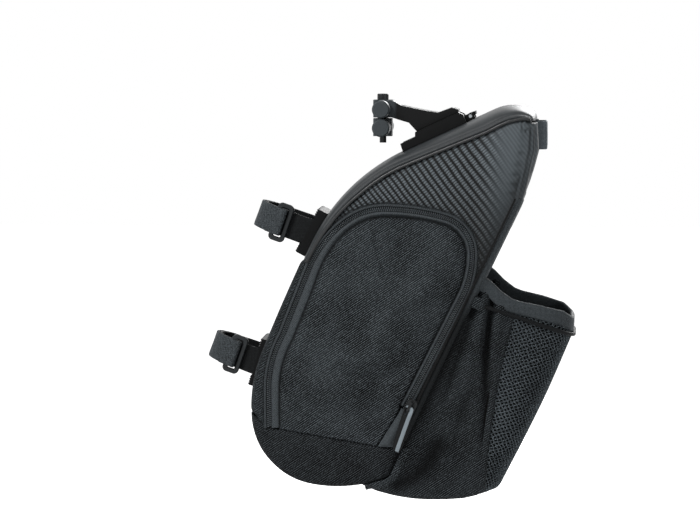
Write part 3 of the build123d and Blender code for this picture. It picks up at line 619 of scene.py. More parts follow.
webbing_back = ribbon("smooth back of the webbing", 8, 34, pitch=1.1, fuzz=0.5)
elastic = ribbon("elastic cord", 8, 40, pitch=1.1, fuzz=0.2, lean=40.0)
black_plastic = moulded("grained black plastic", 13, roughness=0.45, grain=0.4, size=0.7, specular=0.1)
clamp_plastic = moulded("black clamp plastic", 12, roughness=0.36, grain=0.3, size=0.6, specular=0.12)
# The rail jaw's pale ends are a painted highlight.
jaw_plastic = moulded("rail jaw plastic with painted highlight", 12, roughness=0.36, grain=0.3, size=0.6, specular=0.14, painted_highlight_tone=64)
ring_plastic = moulded("ring plastic", 38, roughness=0.34, grain=0.2)
reflective = moulded("grey reflective strip", 140, roughness=0.4, grain=0.5, size=0.35, wear=0.05)
pull_cord = moulded("rubbery pull", 18, roughness=0.5, grain=0.4, size=0.5, specular=0.12)
steel = metal("plated steel", 190)
black_steel = metal("black plated steel", 48, roughness=0.35)
board = moulded("fibre board", 96, roughness=0.75, grain=0.8, size=2.0)


def painted_shade_amount(made, values):
    """Painted shade: how deep in a fold, seam or recess each point lies, 0 to 1; the colour is painted darker there.
    """
    depths = made.data.attributes.new("painted_shade_amount", "FLOAT", "POINT").data
    depths.foreach_set("value", np.clip(values, 0, 1).astype(np.float32))


def flat_places(made):
    """A mesh's points in side view."""
    return np.array([v.co for v in made.data.vertices])[:, [0, 2]] / MM


# ---------------------------------------------------------------- lid
def lid_depth(index):
    """How far inside the outline the lid's seam runs, at samples of the outline."""
    at_x = (-60, -42, -20, 0, 16, 40, 74, 89, 100, 113)
    return np.interp(outline[index][:, 0], at_x, (4.0, 6.5, 8.6, 9.0, 9.5, 10.5, 12.0, 11.2, 9.5, 5.0))


lid_stop = at_toe + np.abs(outline[at_toe:at_nose, 1] + 104.0).argmin()
lid_span = np.arange(at_tail, lid_stop + 1)
lid_inward = eased(-outward[lid_span], 12)
lid_inward /= np.linalg.norm(lid_inward, axis=1)[:, None]
lid_drop = lid_depth(lid_span)
lid_seam = outline[lid_span] + lid_inward * lid_drop[:, None]


def lid_section(width, drop):
    """Half of the lid's section, from its seam to its middle, as (distance across, depth)."""
    size = min(1.0, drop / 9.0)
    knots = np.array([
        (width - 1.4, drop + 1.2),
        (width - 0.3, drop + 0.1),
        (width + 1.0, drop - 0.9 * size),
        (width + 1.5, drop - 2.0 * size),
        (width + 1.2, drop - 3.0 * size),
        (width - 0.9, drop - 3.8 * size),
        (width - 2.4, drop - 3.9 * size),
        (width - 3.0, drop - 4.8 * size),
        (width - 4.4, drop - 6.6 * size),
        (width - 8.4, (drop - 6.6 * size) * 0.55),
        (width - 16.0, (drop - 6.3 * size) * 0.26),
        (width - 28.0, 0.35),
        (18.0, 0.0),
        (0.0, 0.0),
    ])
    spots = run_of(knots)
    rim_end = spots[8]
    wanted = np.concatenate([np.linspace(0, rim_end, 26), np.linspace(rim_end, spots[-1], 22)[1:]])
    return eased(between(wanted, spots, knots), 2, weight=2)


lid_rows = []
for place, into, drop in zip(outline[lid_span], lid_inward, lid_drop):
    width = half_width((place + into * drop)[None, :])[0] - 0.3
    half = lid_section(width, drop)
    left = np.column_stack([place[0] + into[0] * half[:, 1], -half[:, 0], place[1] + into[1] * half[:, 1]])
    lid_rows.append(np.vstack([left, left[::-1][1:] * (1, -1, 1)]))
lid = sheet("lid_skin", lid_rows[::2], lid_skin, "moulded_lid", (0, 0, 1), 2.2)
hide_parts("top_lid")

for side, name in SIDES:
    run = on_side(lid_seam[3:], 0.9, side)
    edge = tube(f"lid_piping_tube_{name}", run[::2], 1.25, piping_skin, "bag", "piping")
    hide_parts(f"lid_piping_{name}")

# ---------------------------------------------------------------- sewn panels
def pillow(seams, crown=0.0, reach=30.0, tuck=0.9):
    """Heights of a panel: tucked in at its seams, and crowned by its filling away from them."""
    stitched = np.vstack([resample(seam, 1.0) for seam in seams])

    def height(points):
        gap, _ = nearest(points, stitched)
        rise = 1 - (1 - np.clip(gap / reach, 0, 1)) ** 2
        return crown * rise - tuck * np.exp(-gap / 1.0)

    return height


def on_sides(faces, place, sides=(-1, 1)):
    """Points that place(side) gives for each side, and the faces of both, facing out."""
    verts, shell = [], []
    for side in sides:
        base = sum(len(part) for part in verts)
        verts.append(place(side))
        shell += [tuple(base + k for k in (face if side < 0 else face[::-1])) for face in faces]
    return verts, shell


cloth_thickness = 1.6
piping_radius = 0.95
cloth_rows = (0.5, 1.1, 1.9, 3.0, 4.6)


def sewn(name, boundary, height, finish, slot, sides=(-1,), wrap=(), until=0.0, rows=cloth_rows, pitch=3.2):
    """A panel on one side or both. wrap are the outline's samples over whose edge it goes on to |y| = until."""
    flat, faces = fill(boundary, rows, pitch)
    lift = height(flat)
    verts, shell = on_sides(faces, lambda side: on_side(flat, lift, side), sides)
    if len(wrap):
        wrap = np.asarray(wrap)
        edge, lift = outline[wrap], height(outline[wrap])
        for side in ((-1,) if until == 0 else sides):
            base = sum(len(v) for v in verts)
            start, stop = on_side(edge, lift, side), on_side(edge, lift, side if until else -side)
            if until:
                stop[:, 1] = side * np.minimum(until, np.abs(stop[:, 1]) - 0.5)
            columns = max(3, int(np.abs(stop[:, 1] - start[:, 1]).max() / 2.2))
            across = np.linspace(0, 1, columns)[:, None, None]
            verts.append((start[None] * (1 - across) + stop[None] * across).reshape(-1, 3))
            shell += [tuple(base + k for k in face) for face in grid_faces(columns, len(wrap))]
    made = make(name, np.vstack(verts), shell, finish, "bag", slot)
    regular(made, weld=0.05)
    return turned_out(made, (0, sides[0], 0)) if len(sides) == 1 else made


lid_gap, lid_near = nearest(lid_seam, arch)
meet = int(np.argmax(lid_gap < 1.2)) if (lid_gap < 1.2).any() else int(lid_gap.argmin())
meet_arch = int(lid_near[meet])
chin = at_brow + int(np.abs(outline[at_brow:at_nose + 8, 1] + 218.0).argmin())
foot_rear = at_heel + int(np.abs(outline[at_heel:at_bend, 1] - garage_foot[1]).argmin())
rear_top = at_bend + int(np.abs(outline[at_bend:, 1] + 2.0).argmin())
arch_low = int(np.abs(arch[: len(arch) // 3, 1] - outline[lid_stop, 1]).argmin())

# Ribbed side panels, with the lengthwise folds where the vinyl is drawn round the tail's corner.
side_edge = np.vstack([lid_seam[: meet + 1], arch[meet_arch:], [garage_side, garage_foot]])
rear_edge = outline[foot_rear : rear_top + 1]
vinyl_outline = np.vstack([resample(side_edge, 1.0), rear_edge])
vinyl_crown = pillow([side_edge, outline[foot_rear : at_bend - 6]], crown=1.8, reach=24.0)


def gathers(points):
    """The lengthwise folds at the tail's corner, 0 between them and 1 in the deepest."""
    gap, index = nearest(points, outline[at_bend - 40 : rear_top + 1])
    wave = 0.5 + 0.5 * np.cos(2 * pi * (gap - 0.8 + 0.8 * np.sin(points[:, 1] / 13.0)) / 3.1)
    return wave**3 * smooth(-72, -46, points[:, 1]) * (1 - smooth(8.0, 15.0, gap))


def vinyl_height(points):
    return vinyl_crown(points) - 1.1 * gathers(points)


corner_rows = np.arange(at_bend - 6, rear_top + 1)
vinyl_rows = (0.5, 1.1, 1.7, 2.3, 2.9, 3.6, 4.3, 5.1, 6.0, 7.0)
for side, name in SIDES:
    vinyl_side = sewn(
        f"ribbed_panel_{name}", vinyl_outline, vinyl_height, vinyl, "carbon_vinyl", sides=(side,),
        wrap=corner_rows, until=40.0, rows=vinyl_rows, pitch=2.6,
    )
    places = flat_places(vinyl_side)
    # Painted shade: the vinyl is painted darker in the tail's gathers and beside the lid piping and the zip.
    piping_shade_painted = np.exp(-((nearest(places, lid_seam)[0] / 2.2) ** 2))
    zip_shade_painted = np.exp(-((nearest(places, arch)[0] / 2.6) ** 2))
    painted_shade_amount(vinyl_side, 0.9 * gathers(places) + 0.6 * piping_shade_painted + 0.7 * zip_shade_painted)
    thicken(vinyl_side, cloth_thickness)
    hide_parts(f"carbon_panel_{name}")

# Front gusset: from the lid's end down to the chin, over both sides.
front_run = np.arange(lid_stop, chin + 1)
front_edge = np.vstack([outline[front_run], [hinge_front], arch[: arch_low + 1]])
front_seams = [arch[: arch_low + 1], [arch[arch_low], outline[lid_stop]], [outline[chin], hinge_front]]
front = sewn(
    "front_gusset_cloth", front_edge, pillow(front_seams, crown=0.6, reach=6.0), nylon_in_painted_shade, "ballistic_nylon",
    sides=(-1, 1), wrap=front_run,
)
thicken(front, cloth_thickness)
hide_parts("front_gusset")

# Bottom: the band under the hinge line on both sides, and the floor between them.
bottom_run = np.arange(chin, foot_rear + 1)
hinge_line = np.array([garage_foot, hinge_rear, hinge_front])
bottom_edge = np.vstack([outline[bottom_run], resample(hinge_line, 1.0)])


def bottom_height(points):
    """The bottom sags between its seams, and is tucked under the door at the hinge."""
    gap, _ = nearest(points, resample(hinge_line, 1.0))
    sag = 0.8 * np.sin(np.clip(gap / 26.0, 0, 1) * pi) * (0.8 + 0.35 * np.sin(points[:, 0] / 11.0))
    return sag - 0.8 * np.exp(-((gap / 2.6) ** 2))


bottom = sewn(
    "bottom_cloth", bottom_edge, bottom_height, nylon_in_deeper_painted_shade, "ballistic_nylon", sides=(-1, 1), wrap=bottom_run
)
thicken(bottom, cloth_thickness)
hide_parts("bottom_panel")

# Back: the cloth that the pocket hangs from, between the bound edges of the side panels.
back_rows = []
for index in range(foot_rear, rear_top + 1):
    reach = half_width(outline[index][None, :])[0] - edge_radius[index] + 0.3
    reach = reach + (40.5 - reach) * smooth(-68, -58, outline[index, 1])
    y = np.linspace(-reach, reach, 31)
    sink = 0.25 + 0.8 * (1 - (y / reach) ** 2) * smooth(-114, -70, outline[index, 1])
    place = outline[index][None, :] - outward[index][None, :] * sink[:, None]
    back_rows.append(np.column_stack([place[:, 0], y, place[:, 1]]))
back = sheet("back_cloth", back_rows, nylon_in_painted_shade, "ballistic_nylon", (1, 0, 0), cloth_thickness)
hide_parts("back_panel")

# Bound edges where the side panels meet the back, from the pocket's front corner to the tail's gathers.
bind_rows = np.arange(at_heel, at_bend + 3)
bind_rows = bind_rows[outline[bind_rows, 1] > -236.0]
for side, name in SIDES:
    columns = []
    for inset, proud in ((4.9, -0.6), (4.6, 1.0), (3.6, 1.6), (2.2, 1.6), (0.8, 1.2), (0.2, 0.6)):
        columns.append(on_side(outline[bind_rows] - outward[bind_rows] * inset, proud, side))
    last = columns[-1]
    for further, proud in ((1.2, 0.4), (2.6, 0.4), (4.2, 0.0), (4.6, -1.2)):
        moved = last.copy()
        moved[:, 1] -= side * further
        moved[:, 0] += outward[bind_rows, 0] * proud
        moved[:, 2] += outward[bind_rows, 1] * proud
        columns.append(moved)
    bound = sheet(f"back_binding_{name}", columns, binding_tape, "grosgrain", (0.5, side, 0), 0.5)
    # Painted shade: the binding is painted darker from about z = -120 mm downwards.
    painted_shade_amount(bound, np.tile(0.95 * smooth(-118, -150, outline[bind_rows, 1]), len(columns)))
    cord_line = on_side(outline[bind_rows] - outward[bind_rows] * 6.0, 0.5, side)
    tube(f"back_piping_{name}", cord_line[::2], piping_radius, groove_piping, "bag", "piping")

# The plain panel on the right, in place of the door, with its piped seam.
right_edge = np.vstack([arch, [garage_side, garage_foot, hinge_rear, hinge_front]])
right_height = pillow([np.vstack([right_edge, right_edge[:1]])], crown=4.2, reach=38.0)
right_edge = resample(right_edge, 1.0, closed=True)
plain = sewn("side_cloth_right", right_edge, right_height, nylon, "ballistic_nylon", sides=(1,))
thicken(plain, cloth_thickness)
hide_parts("side_panel_right")
tube("side_seam_piping", on_side(arch, 0.3, 1)[::2], piping_radius, piping_skin, "bag", "piping")
stitches("side_seam_stitches", shifted(arch, -2.6), "ballistic_nylon", side=1)

# ---------------------------------------------------------------- door and zip
share = np.linspace(0, 1, len(arch))
reach_in = np.interp(share, (0, 0.25, 0.4, 0.55, 0.7, 1), (11.0, 11.5, 9.2, 8.2, 7.8, 7.4))
door_edge = eased(shifted(arch, -reach_in), 8)
hinge_slope = (hinge_rear[1] - hinge_front[1]) / (hinge_rear[0] - hinge_front[0])
door_front = (door_edge[0][0], hinge_front[1] + hinge_slope * (door_edge[0][0] - hinge_front[0]) + 0.3)
door_foot = [(garage_top[0] - 0.3, garage_top[1] + 0.2), (hinge_rear[0] - 0.3, hinge_rear[1] + 0.3), door_front]
door_seam = np.vstack([door_edge, door_foot])
door_foot = resample(door_foot, 0.9)
door_line = resample(np.vstack([door_seam, door_seam[:1]]), 0.9)
door_swell = pillow([door_line], crown=7.2, reach=44.0, tuck=2.2)


def door_height(points):
    """The filled door: crowned, a little slack, and flat at its foot so that it can fold down there."""
    slack = 0.7 * np.sin(points[:, 0] / 17.0 + points[:, 1] / 31.0) * np.sin(points[:, 1] / 23.0 + 0.6)
    inner = np.clip(nearest(points, door_line)[0] / 30.0, 0, 1)
    above_foot = nearest(points, door_foot)[0]
    swell = door_swell(points)
    swell = np.where(swell > 0, swell * (0.12 + 0.88 * smooth(0, 70, above_foot)), swell)
    base = 0.4 + 1.1 * smooth(1.0, 14.0, above_foot) + 0.9 * np.exp(-above_foot / 1.2)
    return base + swell + slack * inner


door = sewn(
    "door_cloth", resample(door_seam, 0.9, closed=True), door_height, nylon, "ballistic_nylon",
    rows=(0.4, 0.8, 1.3, 1.9, 2.6, 3.6, 5.0), pitch=2.6,
)


def fill_out(made, seams, foot, pressure, frames=14):
    """Lets a sewn panel swell and wrinkle as cloth between pinned seams, least at its foot, and keeps that."""
    pinned = made.vertex_groups.new(name="seams")
    flat = flat_places(made)
    for index, near in enumerate(nearest(flat, seams)[0]):
        pinned.add([index], float(1 - smooth(1.2, 3.5, near)), "REPLACE")
    cloth = made.modifiers.new("cloth", "CLOTH")
    cloth.settings.quality = 6
    cloth.settings.mass = 0.25
    cloth.settings.tension_stiffness = 14
    cloth.settings.compression_stiffness = 14
    cloth.settings.bending_stiffness = 0.35
    cloth.settings.shrink_min = -0.022
    cloth.settings.vertex_group_mass = "seams"
    cloth.settings.use_pressure = True
    cloth.settings.uniform_pressure_force = pressure
    cloth.settings.effector_weights.gravity = 0.25
    cloth.collision_settings.use_collision = False
    start = np.array([v.co for v in made.data.vertices])
    for step in range(1, frames + 1):
        bpy.context.scene.frame_set(step)
    graph = bpy.context.evaluated_depsgraph_get()
    swollen = made.evaluated_get(graph).to_mesh()
    moved = np.array([v.co for v in swollen.vertices]) - start
    far = np.linalg.norm(moved, axis=1)
    limit = 0.3 + 4.2 * smooth(3, 55, nearest(flat, foot)[0])
    moved *= np.minimum(1, limit * MM / np.maximum(far, 1e-9))[:, None]
    made.evaluated_get(graph).to_mesh_clear()
    made.modifiers.remove(cloth)
    made.vertex_groups.remove(pinned)
    made.data.vertices.foreach_set("co", (start + moved).ravel())
    made.data.update()
    bpy.context.scene.frame_set(1)


fill_out(door, door_line, door_foot, pressure=1.6)
# Painted shade: the door is painted darker along its zipped edge.
painted_shade_amount(door, 0.9 * np.exp(-nearest(flat_places(door), resample(door_edge, 0.9))[0] / 1.3))
finer(door)
thicken(door, 1.5)
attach(door, "door")
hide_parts("door_panel")

# Both tapes run on below the arch to the hinge. The coil lies between them.
run_on = np.vstack([resample([(-84.4, -228.2), arch[0]], 0.9)[:-1], arch])
reach_on = np.concatenate([np.full(len(run_on) - len(arch), reach_in[0]), reach_in])
outer_steps = ((0.9, -0.5), (0.3, 0.25), (-0.2, 0.75), (-0.9, 0.85), (-1.5, 0.6), (-1.75, 0.0), (-3.35, -0.5))
outer_tape = band("zip_tape_outer", run_on, outer_steps, zip_tape, "bag", "zip_coil", thickness=0.7)
coil_line = 3.45
inner_steps = [(-coil_line - 0.15, -0.5), (-5.05, 0.0), (-5.3, 0.6)]
inner_steps += [(-share * reach_on - (1 - share) * 5.3, 0.85) for share in (0.35, 0.7)]
inner_steps += [(-(reach_on - 1.3), 0.7), (-(reach_on - 0.4), 0.35), (-(reach_on + 0.9), -0.7)]
inner_tape = band("zip_tape_inner", run_on, inner_steps, smooth_tape, "door", "zip_coil", thickness=0.7)
# Painted shade: each tape is painted darker at its tucked edges and beside the coil.
for piece, deep in ((outer_tape, (0.6, 0.1, 0, 0, 0.3, 1, 1)), (inner_tape, (1, 1, 0.2, 0, 0, 0, 0.6, 1))):
    painted_shade_amount(piece, np.repeat(deep, len(run_on)))

tooth_pitch = 1.45
spots = resample(resample(shifted(run_on, -coil_line), tooth_pitch)[1:], tooth_pitch)
for name, shift, phase in (("bag", 0.72, 0.0), ("door", -0.72, 0.5)):
    row = shifted(spots + np.gradient(spots, axis=0) * phase, shift)
    low, high = on_side(row, 0.4), on_side(row, 1.4)
    inwards = on_side(shifted(row, 1.0), 0.4) - low
    size = (0.88, 0.42, 0.62)
    coil = beads(f"zip_coil_{name}", low, inwards, high - low, size, coil_plastic, name, "zip_coil")
    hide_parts(f"zip_chain_{name}")
stitches("outer_tape_stitches", shifted(arch, 1.3), "zip_coil", proud=0.25, length=0.8, gap=0.7)

# The satin patch that covers the end of the zip, and the stitched hinge line.
patch_edge = np.array([(17.2, -210.6), zip_end, garage_side, garage_foot, hinge_rear, garage_top])
patch_edge = resample(patch_edge, 0.8, closed=True)
patch_swell = pillow([np.vstack([patch_edge, patch_edge[:1]])], crown=2.4, reach=9.0, tuck=1.4)
patch = sewn(
    "garage_patch", patch_edge, lambda points: 1.3 + patch_swell(points), satin, "satin_patch",
    rows=(0.5, 1.0, 1.8), pitch=1.6,
)
thicken(patch, 1.0)
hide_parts("zip_garage")
stitches("hinge_stitches", shifted(resample(hinge_line, 1.0), 2.4), "ballistic_nylon")

# ---------------------------------------------------------------- bottle pocket
depth, wide_front, wide_rear, turn_radius = 77.0, 57.0, 40.0, 24.0
fall = (wide_front - wide_rear) / depth


def pocket_section():
    """The pocket's plan, from its left front round the rear to its right front, every millimetre."""
    first, last = unit((1.0, fall)), np.array((0.0, 1.0))
    reach = turn_radius * np.tan(atan2(first[0], first[1]) / 2)
    front = [(-24.0, -wide_front), (0.0, -wide_front)]
    into = np.array((depth, -wide_rear)) - first * reach
    centre = into + turn_radius * np.array((-first[1], first[0]))
    angles = np.linspace(atan2(into[1] - centre[1], into[0] - centre[0]), 0, 30)
    turn = centre + turn_radius * np.column_stack([np.cos(angles), np.sin(angles)])
    half = np.vstack([front, turn, (depth, 0.0)])
    return resample(np.vstack([half, (half * (1, -1))[::-1][1:]]), 1.0)


section = pocket_section()
section_along = tangents(section)
section_out = np.column_stack([section_along[:, 1], -section_along[:, 0]])
section_at = run_of(section)
section_length = section_at[-1]
mouth_u = (-3.0, 0.0, 6.0, 16.0, 26.0, 32.0, 48.0, 66.0, 74.0, 77.0)
mouth_v = (1.2, 0.0, -0.8, -4.4, -6.4, -5.9, -2.2, 0.6, -0.8, -1.6)
foot_arc = arcs((84.0, -278.0), (-0.98, -0.17), [(37.0, -281.0), (-18.0, -265.5)])
foot_line_xz = resample(foot_arc, 1.0)


def from_plan(u, y, v):
    x = plan_origin[0] + u * cos(back_lean) + v * sin(back_lean)
    return np.column_stack([x, y, plan_origin[1] - u * sin(back_lean) + v * cos(back_lean)])


foot_plan = to_plan(foot_line_xz)[::-1]


def foot_height(u):
    return np.interp(u, foot_plan[:, 0], foot_plan[:, 1])


def mouth_height(along):
    u = np.interp(along, section_at, section[:, 0])
    return np.interp(u, mouth_u, mouth_v)


def pocket_wall(along, v, proud=0.0):
    """Places on the pocket: along its plan from the left, v up the back, proud outwards."""
    u, y = between(along, section_at, section).T
    out = between(along, section_at, section_out)
    near_foot = np.clip(1 - (v - foot_height(u)) / 9.0, 0, 1)
    drawn_in = 4.2 * smooth(-16.0, 2.0, v) * smooth(45.0, 74.0, u)
    belly = 1.8 * np.sin(np.clip((v + 140.0) / 130.0, 0, 1) * pi) * smooth(30.0, 70.0, u)
    away = np.broadcast_to(proud, len(v)) + belly - drawn_in - 9.0 * (1 - np.sqrt(1 - near_foot**2))
    return from_plan(u + out[:, 0] * away, y + out[:, 1] * away, v)


def on_pocket(points, proud=0.0, side=-1):
    """The pocket's side at side-view points."""
    plan = to_plan(points)
    half = section_at[: len(section_at) // 2]
    along = np.interp(plan[:, 0], section[: len(half), 0], half)
    places = pocket_wall(along, plan[:, 1], proud)
    places[:, 1] *= -side
    return places


seam_top, seam_middle, seam_low = (97.0, -143.8), (83.0, -207.5), (75.2, -277.0)
mesh_seam = arcs(seam_top, np.subtract((92.0, -162.0), seam_top), [seam_middle])
mesh_seam = resample(mesh_seam + arcs(seam_middle, mesh_seam[-1] - mesh_seam[-2], [seam_low])[1:], 1.0)
mouth_side = resample(from_plan(np.array(mouth_u), np.zeros(len(mouth_u)), np.array(mouth_v))[:, [0, 2]], 1.0)
creases = [
    (np.array([(74.0, -121.0), (70.0, -138.0), (64.0, -156.0), (54.0, -186.0), (47.0, -206.0)]), 5.2, 3.0),
    (np.array([(83.5, -128.0), (81.0, -145.0), (79.6, -170.0), (78.8, -205.0), (77.0, -236.0)]), 6.0, 3.2),
    (np.array([(66.0, -200.0), (60.0, -222.0), (52.0, -246.0)]), 1.8, 4.0),
]
ridges = [
    (np.array([(79.5, -130.0), (75.0, -150.0), (70.0, -172.0), (63.0, -200.0)]), 3.4, 3.6),
    (np.array([(88.0, -138.0), (85.5, -160.0), (83.0, -190.0)]), 2.6, 3.0),
    (np.array([(66.0, -146.0), (58.0, -168.0), (46.0, -198.0), (36.0, -222.0)]), 3.0, 3.4),
]


def gusset_height(points):
    """Lengthwise folds of the slack gusset, deepest under the mouth."""
    height = np.zeros(len(points))
    for sign, folds in ((-1, creases), (1, ridges)):
        for line, size, spread in folds:
            line = resample(line, 1.0)
            gap, index = nearest(points, line)
            fade = 1 - 0.75 * index / len(line)
            height += sign * size * fade * np.exp(-((gap / spread) ** 2))
    seam_gap, _ = nearest(points, mesh_seam)
    return 0.3 + height - 0.8 * np.exp(-seam_gap / 1.2)


under_body = resample([(44.0, -238.0), (37.0, -251.0), (27.0, -262.0), (14.0, -268.0)], 1.0)


def gusset_shade(points):
    """Where light hardly reaches: in the folds, beside the body's edge, and under the body's heel."""
    body_gap, index = nearest(points, outline[at_heel - 10 : at_bend - 40])
    reach = 2.5 + 4.5 * smooth(-130, -190, points[:, 1]) * (1 - smooth(-205, -235, points[:, 1]))
    beside = np.exp(-((body_gap / reach) ** 2))
    below = np.exp(-((nearest(points, under_body)[0] / 6.5) ** 2))
    folded = np.clip((0.2 - gusset_height(points)) / 3.0, 0, 1) * smooth(-120, -136, points[:, 1])
    return folded + 0.95 * beside * smooth(-126, -150, points[:, 1]) + 0.95 * below


top_cut = mouth_side[(mouth_side[:, 0] > 74.5) & (mouth_side[:, 0] < 98.5)] + (-1.5, -4.0)
body_behind = outline[at_heel - 24 : at_bend] - outward[at_heel - 24 : at_bend] * 1.6
body_behind = body_behind[body_behind[:, 1] < -121.0]
gusset_edge = np.vstack([top_cut, mesh_seam, foot_line_xz[foot_line_xz[:, 0] < seam_low[0] - 1.0], body_behind])
gusset_edge = resample(gusset_edge, 1.0, closed=True)
gusset_flat, gusset_faces = fill(gusset_edge, (0.8, 1.8, 3.2), 2.2)
gusset_lift = gusset_height(gusset_flat)
verts, faces = on_sides(gusset_faces, lambda side: on_pocket(gusset_flat, gusset_lift, side))
gusset = make("pocket_gusset_cloth", np.vstack(verts), faces, nylon_in_painted_shade, "bag", "ballistic_nylon")
regular(gusset)
painted_shade_amount(gusset, np.tile(gusset_shade(gusset_flat), 2))
finer(gusset)
thicken(gusset, 1.3, offset=0.0)
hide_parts("pocket_gusset")

# The doubled hem along the gusset's front edge, with its row of stitches.
hem_rows = np.arange(at_heel - 20, at_bend)
hem_rows = hem_rows[outline[hem_rows, 1] < -239.0]
hem_curve = outline[hem_rows] + outward[hem_rows] * 3.2
hem_steps = ((2.2, -0.6), (1.9, 1.2), (0.8, 2.0), (-0.4, 1.6), (-1.6, 2.2), (-2.8, 2.0), (-3.4, 0.1))
for side, name in SIDES:
    rows = []
    for distance, lift in hem_steps:
        row = shifted(hem_curve, -distance)
        rows.append(on_pocket(row, lift + gusset_height(row) * 0.6 + 0.8, side))
    sheet(f"gusset_hem_{name}", rows, nylon, "ballistic_nylon", (0, side, 0), 0.8)

# The knitted mesh: a lattice of threads round the rear, between the two gusset seams.
seam_plan = to_plan(mesh_seam)
half_count = len(section_at) // 2
seam_along = np.interp(seam_plan[:, 0], section[:half_count, 0], section_at[:half_count])


def seam_at(v):
    return np.interp(v, seam_plan[::-1, 1], seam_along[::-1])


cell_across, cell_up = 3.8, 3.4
columns = np.arange(int(section_length / (cell_across / 2)) + 1)
levels = np.arange(int(150 / (cell_up / 2)) + 1)
lattice = {}
knots, holes = [], []
for i in columns:
    for j in levels:
        if (i + j) % 2 == 0:
            lattice[i, j] = len(knots)
            sway = 0.32 * (1 if (j // 2) % 2 else -1)
            knots.append((i * cell_across / 2 + sway, 2.0 - j * cell_up / 2))
for i in columns:
    for j in levels:
        corners = [(i - 1, j), (i, j + 1), (i + 1, j), (i, j - 1)]
        if (i + j) % 2 and all(corner in lattice for corner in corners):
            holes.append([lattice[corner] for corner in corners])
knots = np.array(knots, float)
low = seam_at(knots[:, 1])
u_knot = np.interp(knots[:, 0], section_at, section[:, 0])
keep = (knots[:, 0] > low - 1.5) & (knots[:, 0] < section_length - low + 1.5)
keep &= (knots[:, 1] < mouth_height(knots[:, 0]) - 5.0) & (knots[:, 1] > foot_height(u_knot) - 0.5)
wander = 0.35 * np.sin(knots[:, 0] / 9.0) * np.sin(knots[:, 1] / 13.0)
woven_places = pocket_wall(knots[:, 0], knots[:, 1], wander)
renumber = np.cumsum(keep) - 1
cells = [[renumber[k] for k in hole] for hole in holes if all(keep[k] for k in hole)]
net = make("pocket_net", woven_places[keep], cells, knit, "bag", "mesh")
turned_out(net, (1, 0, 0))
strands = net.modifiers.new("threads", "WIREFRAME")
strands.thickness = 1.55 * MM
strands.use_even_offset = False
strands.offset = 0.0
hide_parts("pocket_mesh")

# The knit's fine backing, just behind the threads.
backing_share = np.linspace(0, 1, 90)
rows = []
for level in np.linspace(0, 1, 60):
    middle_v = -146.0 + (146.0 - 5.0) * level
    first = seam_at(middle_v) - 1.0
    along = first + (section_length - 2 * first) * backing_share
    u = np.interp(along, section_at, section[:, 0])
    v = foot_height(u) + 0.4 + (mouth_height(along) - 5.0 - foot_height(u)) * level
    rows.append(pocket_wall(along, v, -0.9))
sheet("pocket_net_backing", rows, knit_backing, "mesh", (1, 0, 0), 0.4)

# The gusset's turned edge over the mesh, with its stitches.
for side, name in SIDES:
    rows = []
    for distance, lift in ((2.6, -0.4), (2.3, 0.9), (0.8, 1.3), (-1.2, 1.3), (-2.2, 0.9), (-2.5, -0.4)):
        rows.append(on_pocket(shifted(mesh_seam, distance), lift, side))
    sheet(f"mesh_seam_{name}", rows, nylon_in_painted_shade, "ballistic_nylon", (0, side, 0), 0.6)

# The pocket's floor.
floor_count = int(np.abs(section[: len(section) // 2, 1] + 22.0).argmin())
left = pocket_wall(section_at[:floor_count], foot_height(section[:floor_count, 0]) + 0.01)
across = np.linspace(0, 1, 25)[:, None, None]
right = left * (1, -1, 1)
under = left[None] * (1 - across) + right[None] * across
under[:, :, 2] += 0.8 * np.outer(np.sin(np.linspace(0, pi, 25)), np.sin(np.linspace(0, pi, floor_count)))
underside = sheet("pocket_floor", under, nylon_in_painted_shade, "ballistic_nylon", (0, 0, -1), cloth_thickness)
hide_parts("pocket_base")

# The binding folded over the mouth's edge.
mouth_along = np.arange(21.0, section_length - 20.5, 1.2)
rim_steps = [(-10.3, 0.4), (-9.9, 1.1), (-8.6, 1.35), (-5.0, 1.4), (-1.6, 1.35), (-0.4, 0.9), (0.25, 0.0), (0.3, -1.0)]
rim_steps += [(-0.3, -2.0), (-1.4, -2.6), (-5.0, -2.7), (-9.0, -2.6), (-9.8, -2.2)]
rows = []
for drop, lift in rim_steps:
    ripple = 0.25 * np.sin(mouth_along / 5.5) * np.clip(-drop / 5.0, 0, 1)
    rows.append(pocket_wall(mouth_along, mouth_height(mouth_along) + drop, lift + ripple))
rim = sheet("mouth_binding", rows, binding_tape, "grosgrain")
regular(rim)
finer(rim)
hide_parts("pocket_binding")

# The elastic cord that holds a bottle's shoulder, in its two webbing tabs.
cord_points = [
    (0.07775, -0.05664, -0.1359), (0.1027, -0.05096, -0.14468), (0.14298, -0.0418, -0.15886),
    (0.14298, 0.0, -0.15886),
    (0.14298, 0.0418, -0.15886), (0.1027, 0.05096, -0.14468), (0.07775, 0.05664, -0.1359),
]
cord_places = np.array(cord_points) / MM
cord = tube("elastic_cord_line", cord_places, 1.5, elastic, "bag", "elastic", kind="NURBS", rounds=6)
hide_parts("elastic_cord")

# ---------------------------------------------------------------- webbing
def squared(value):
    """Draws a round section towards a flat one with rounded edges."""
    return np.sign(value) * np.abs(value) ** 0.35


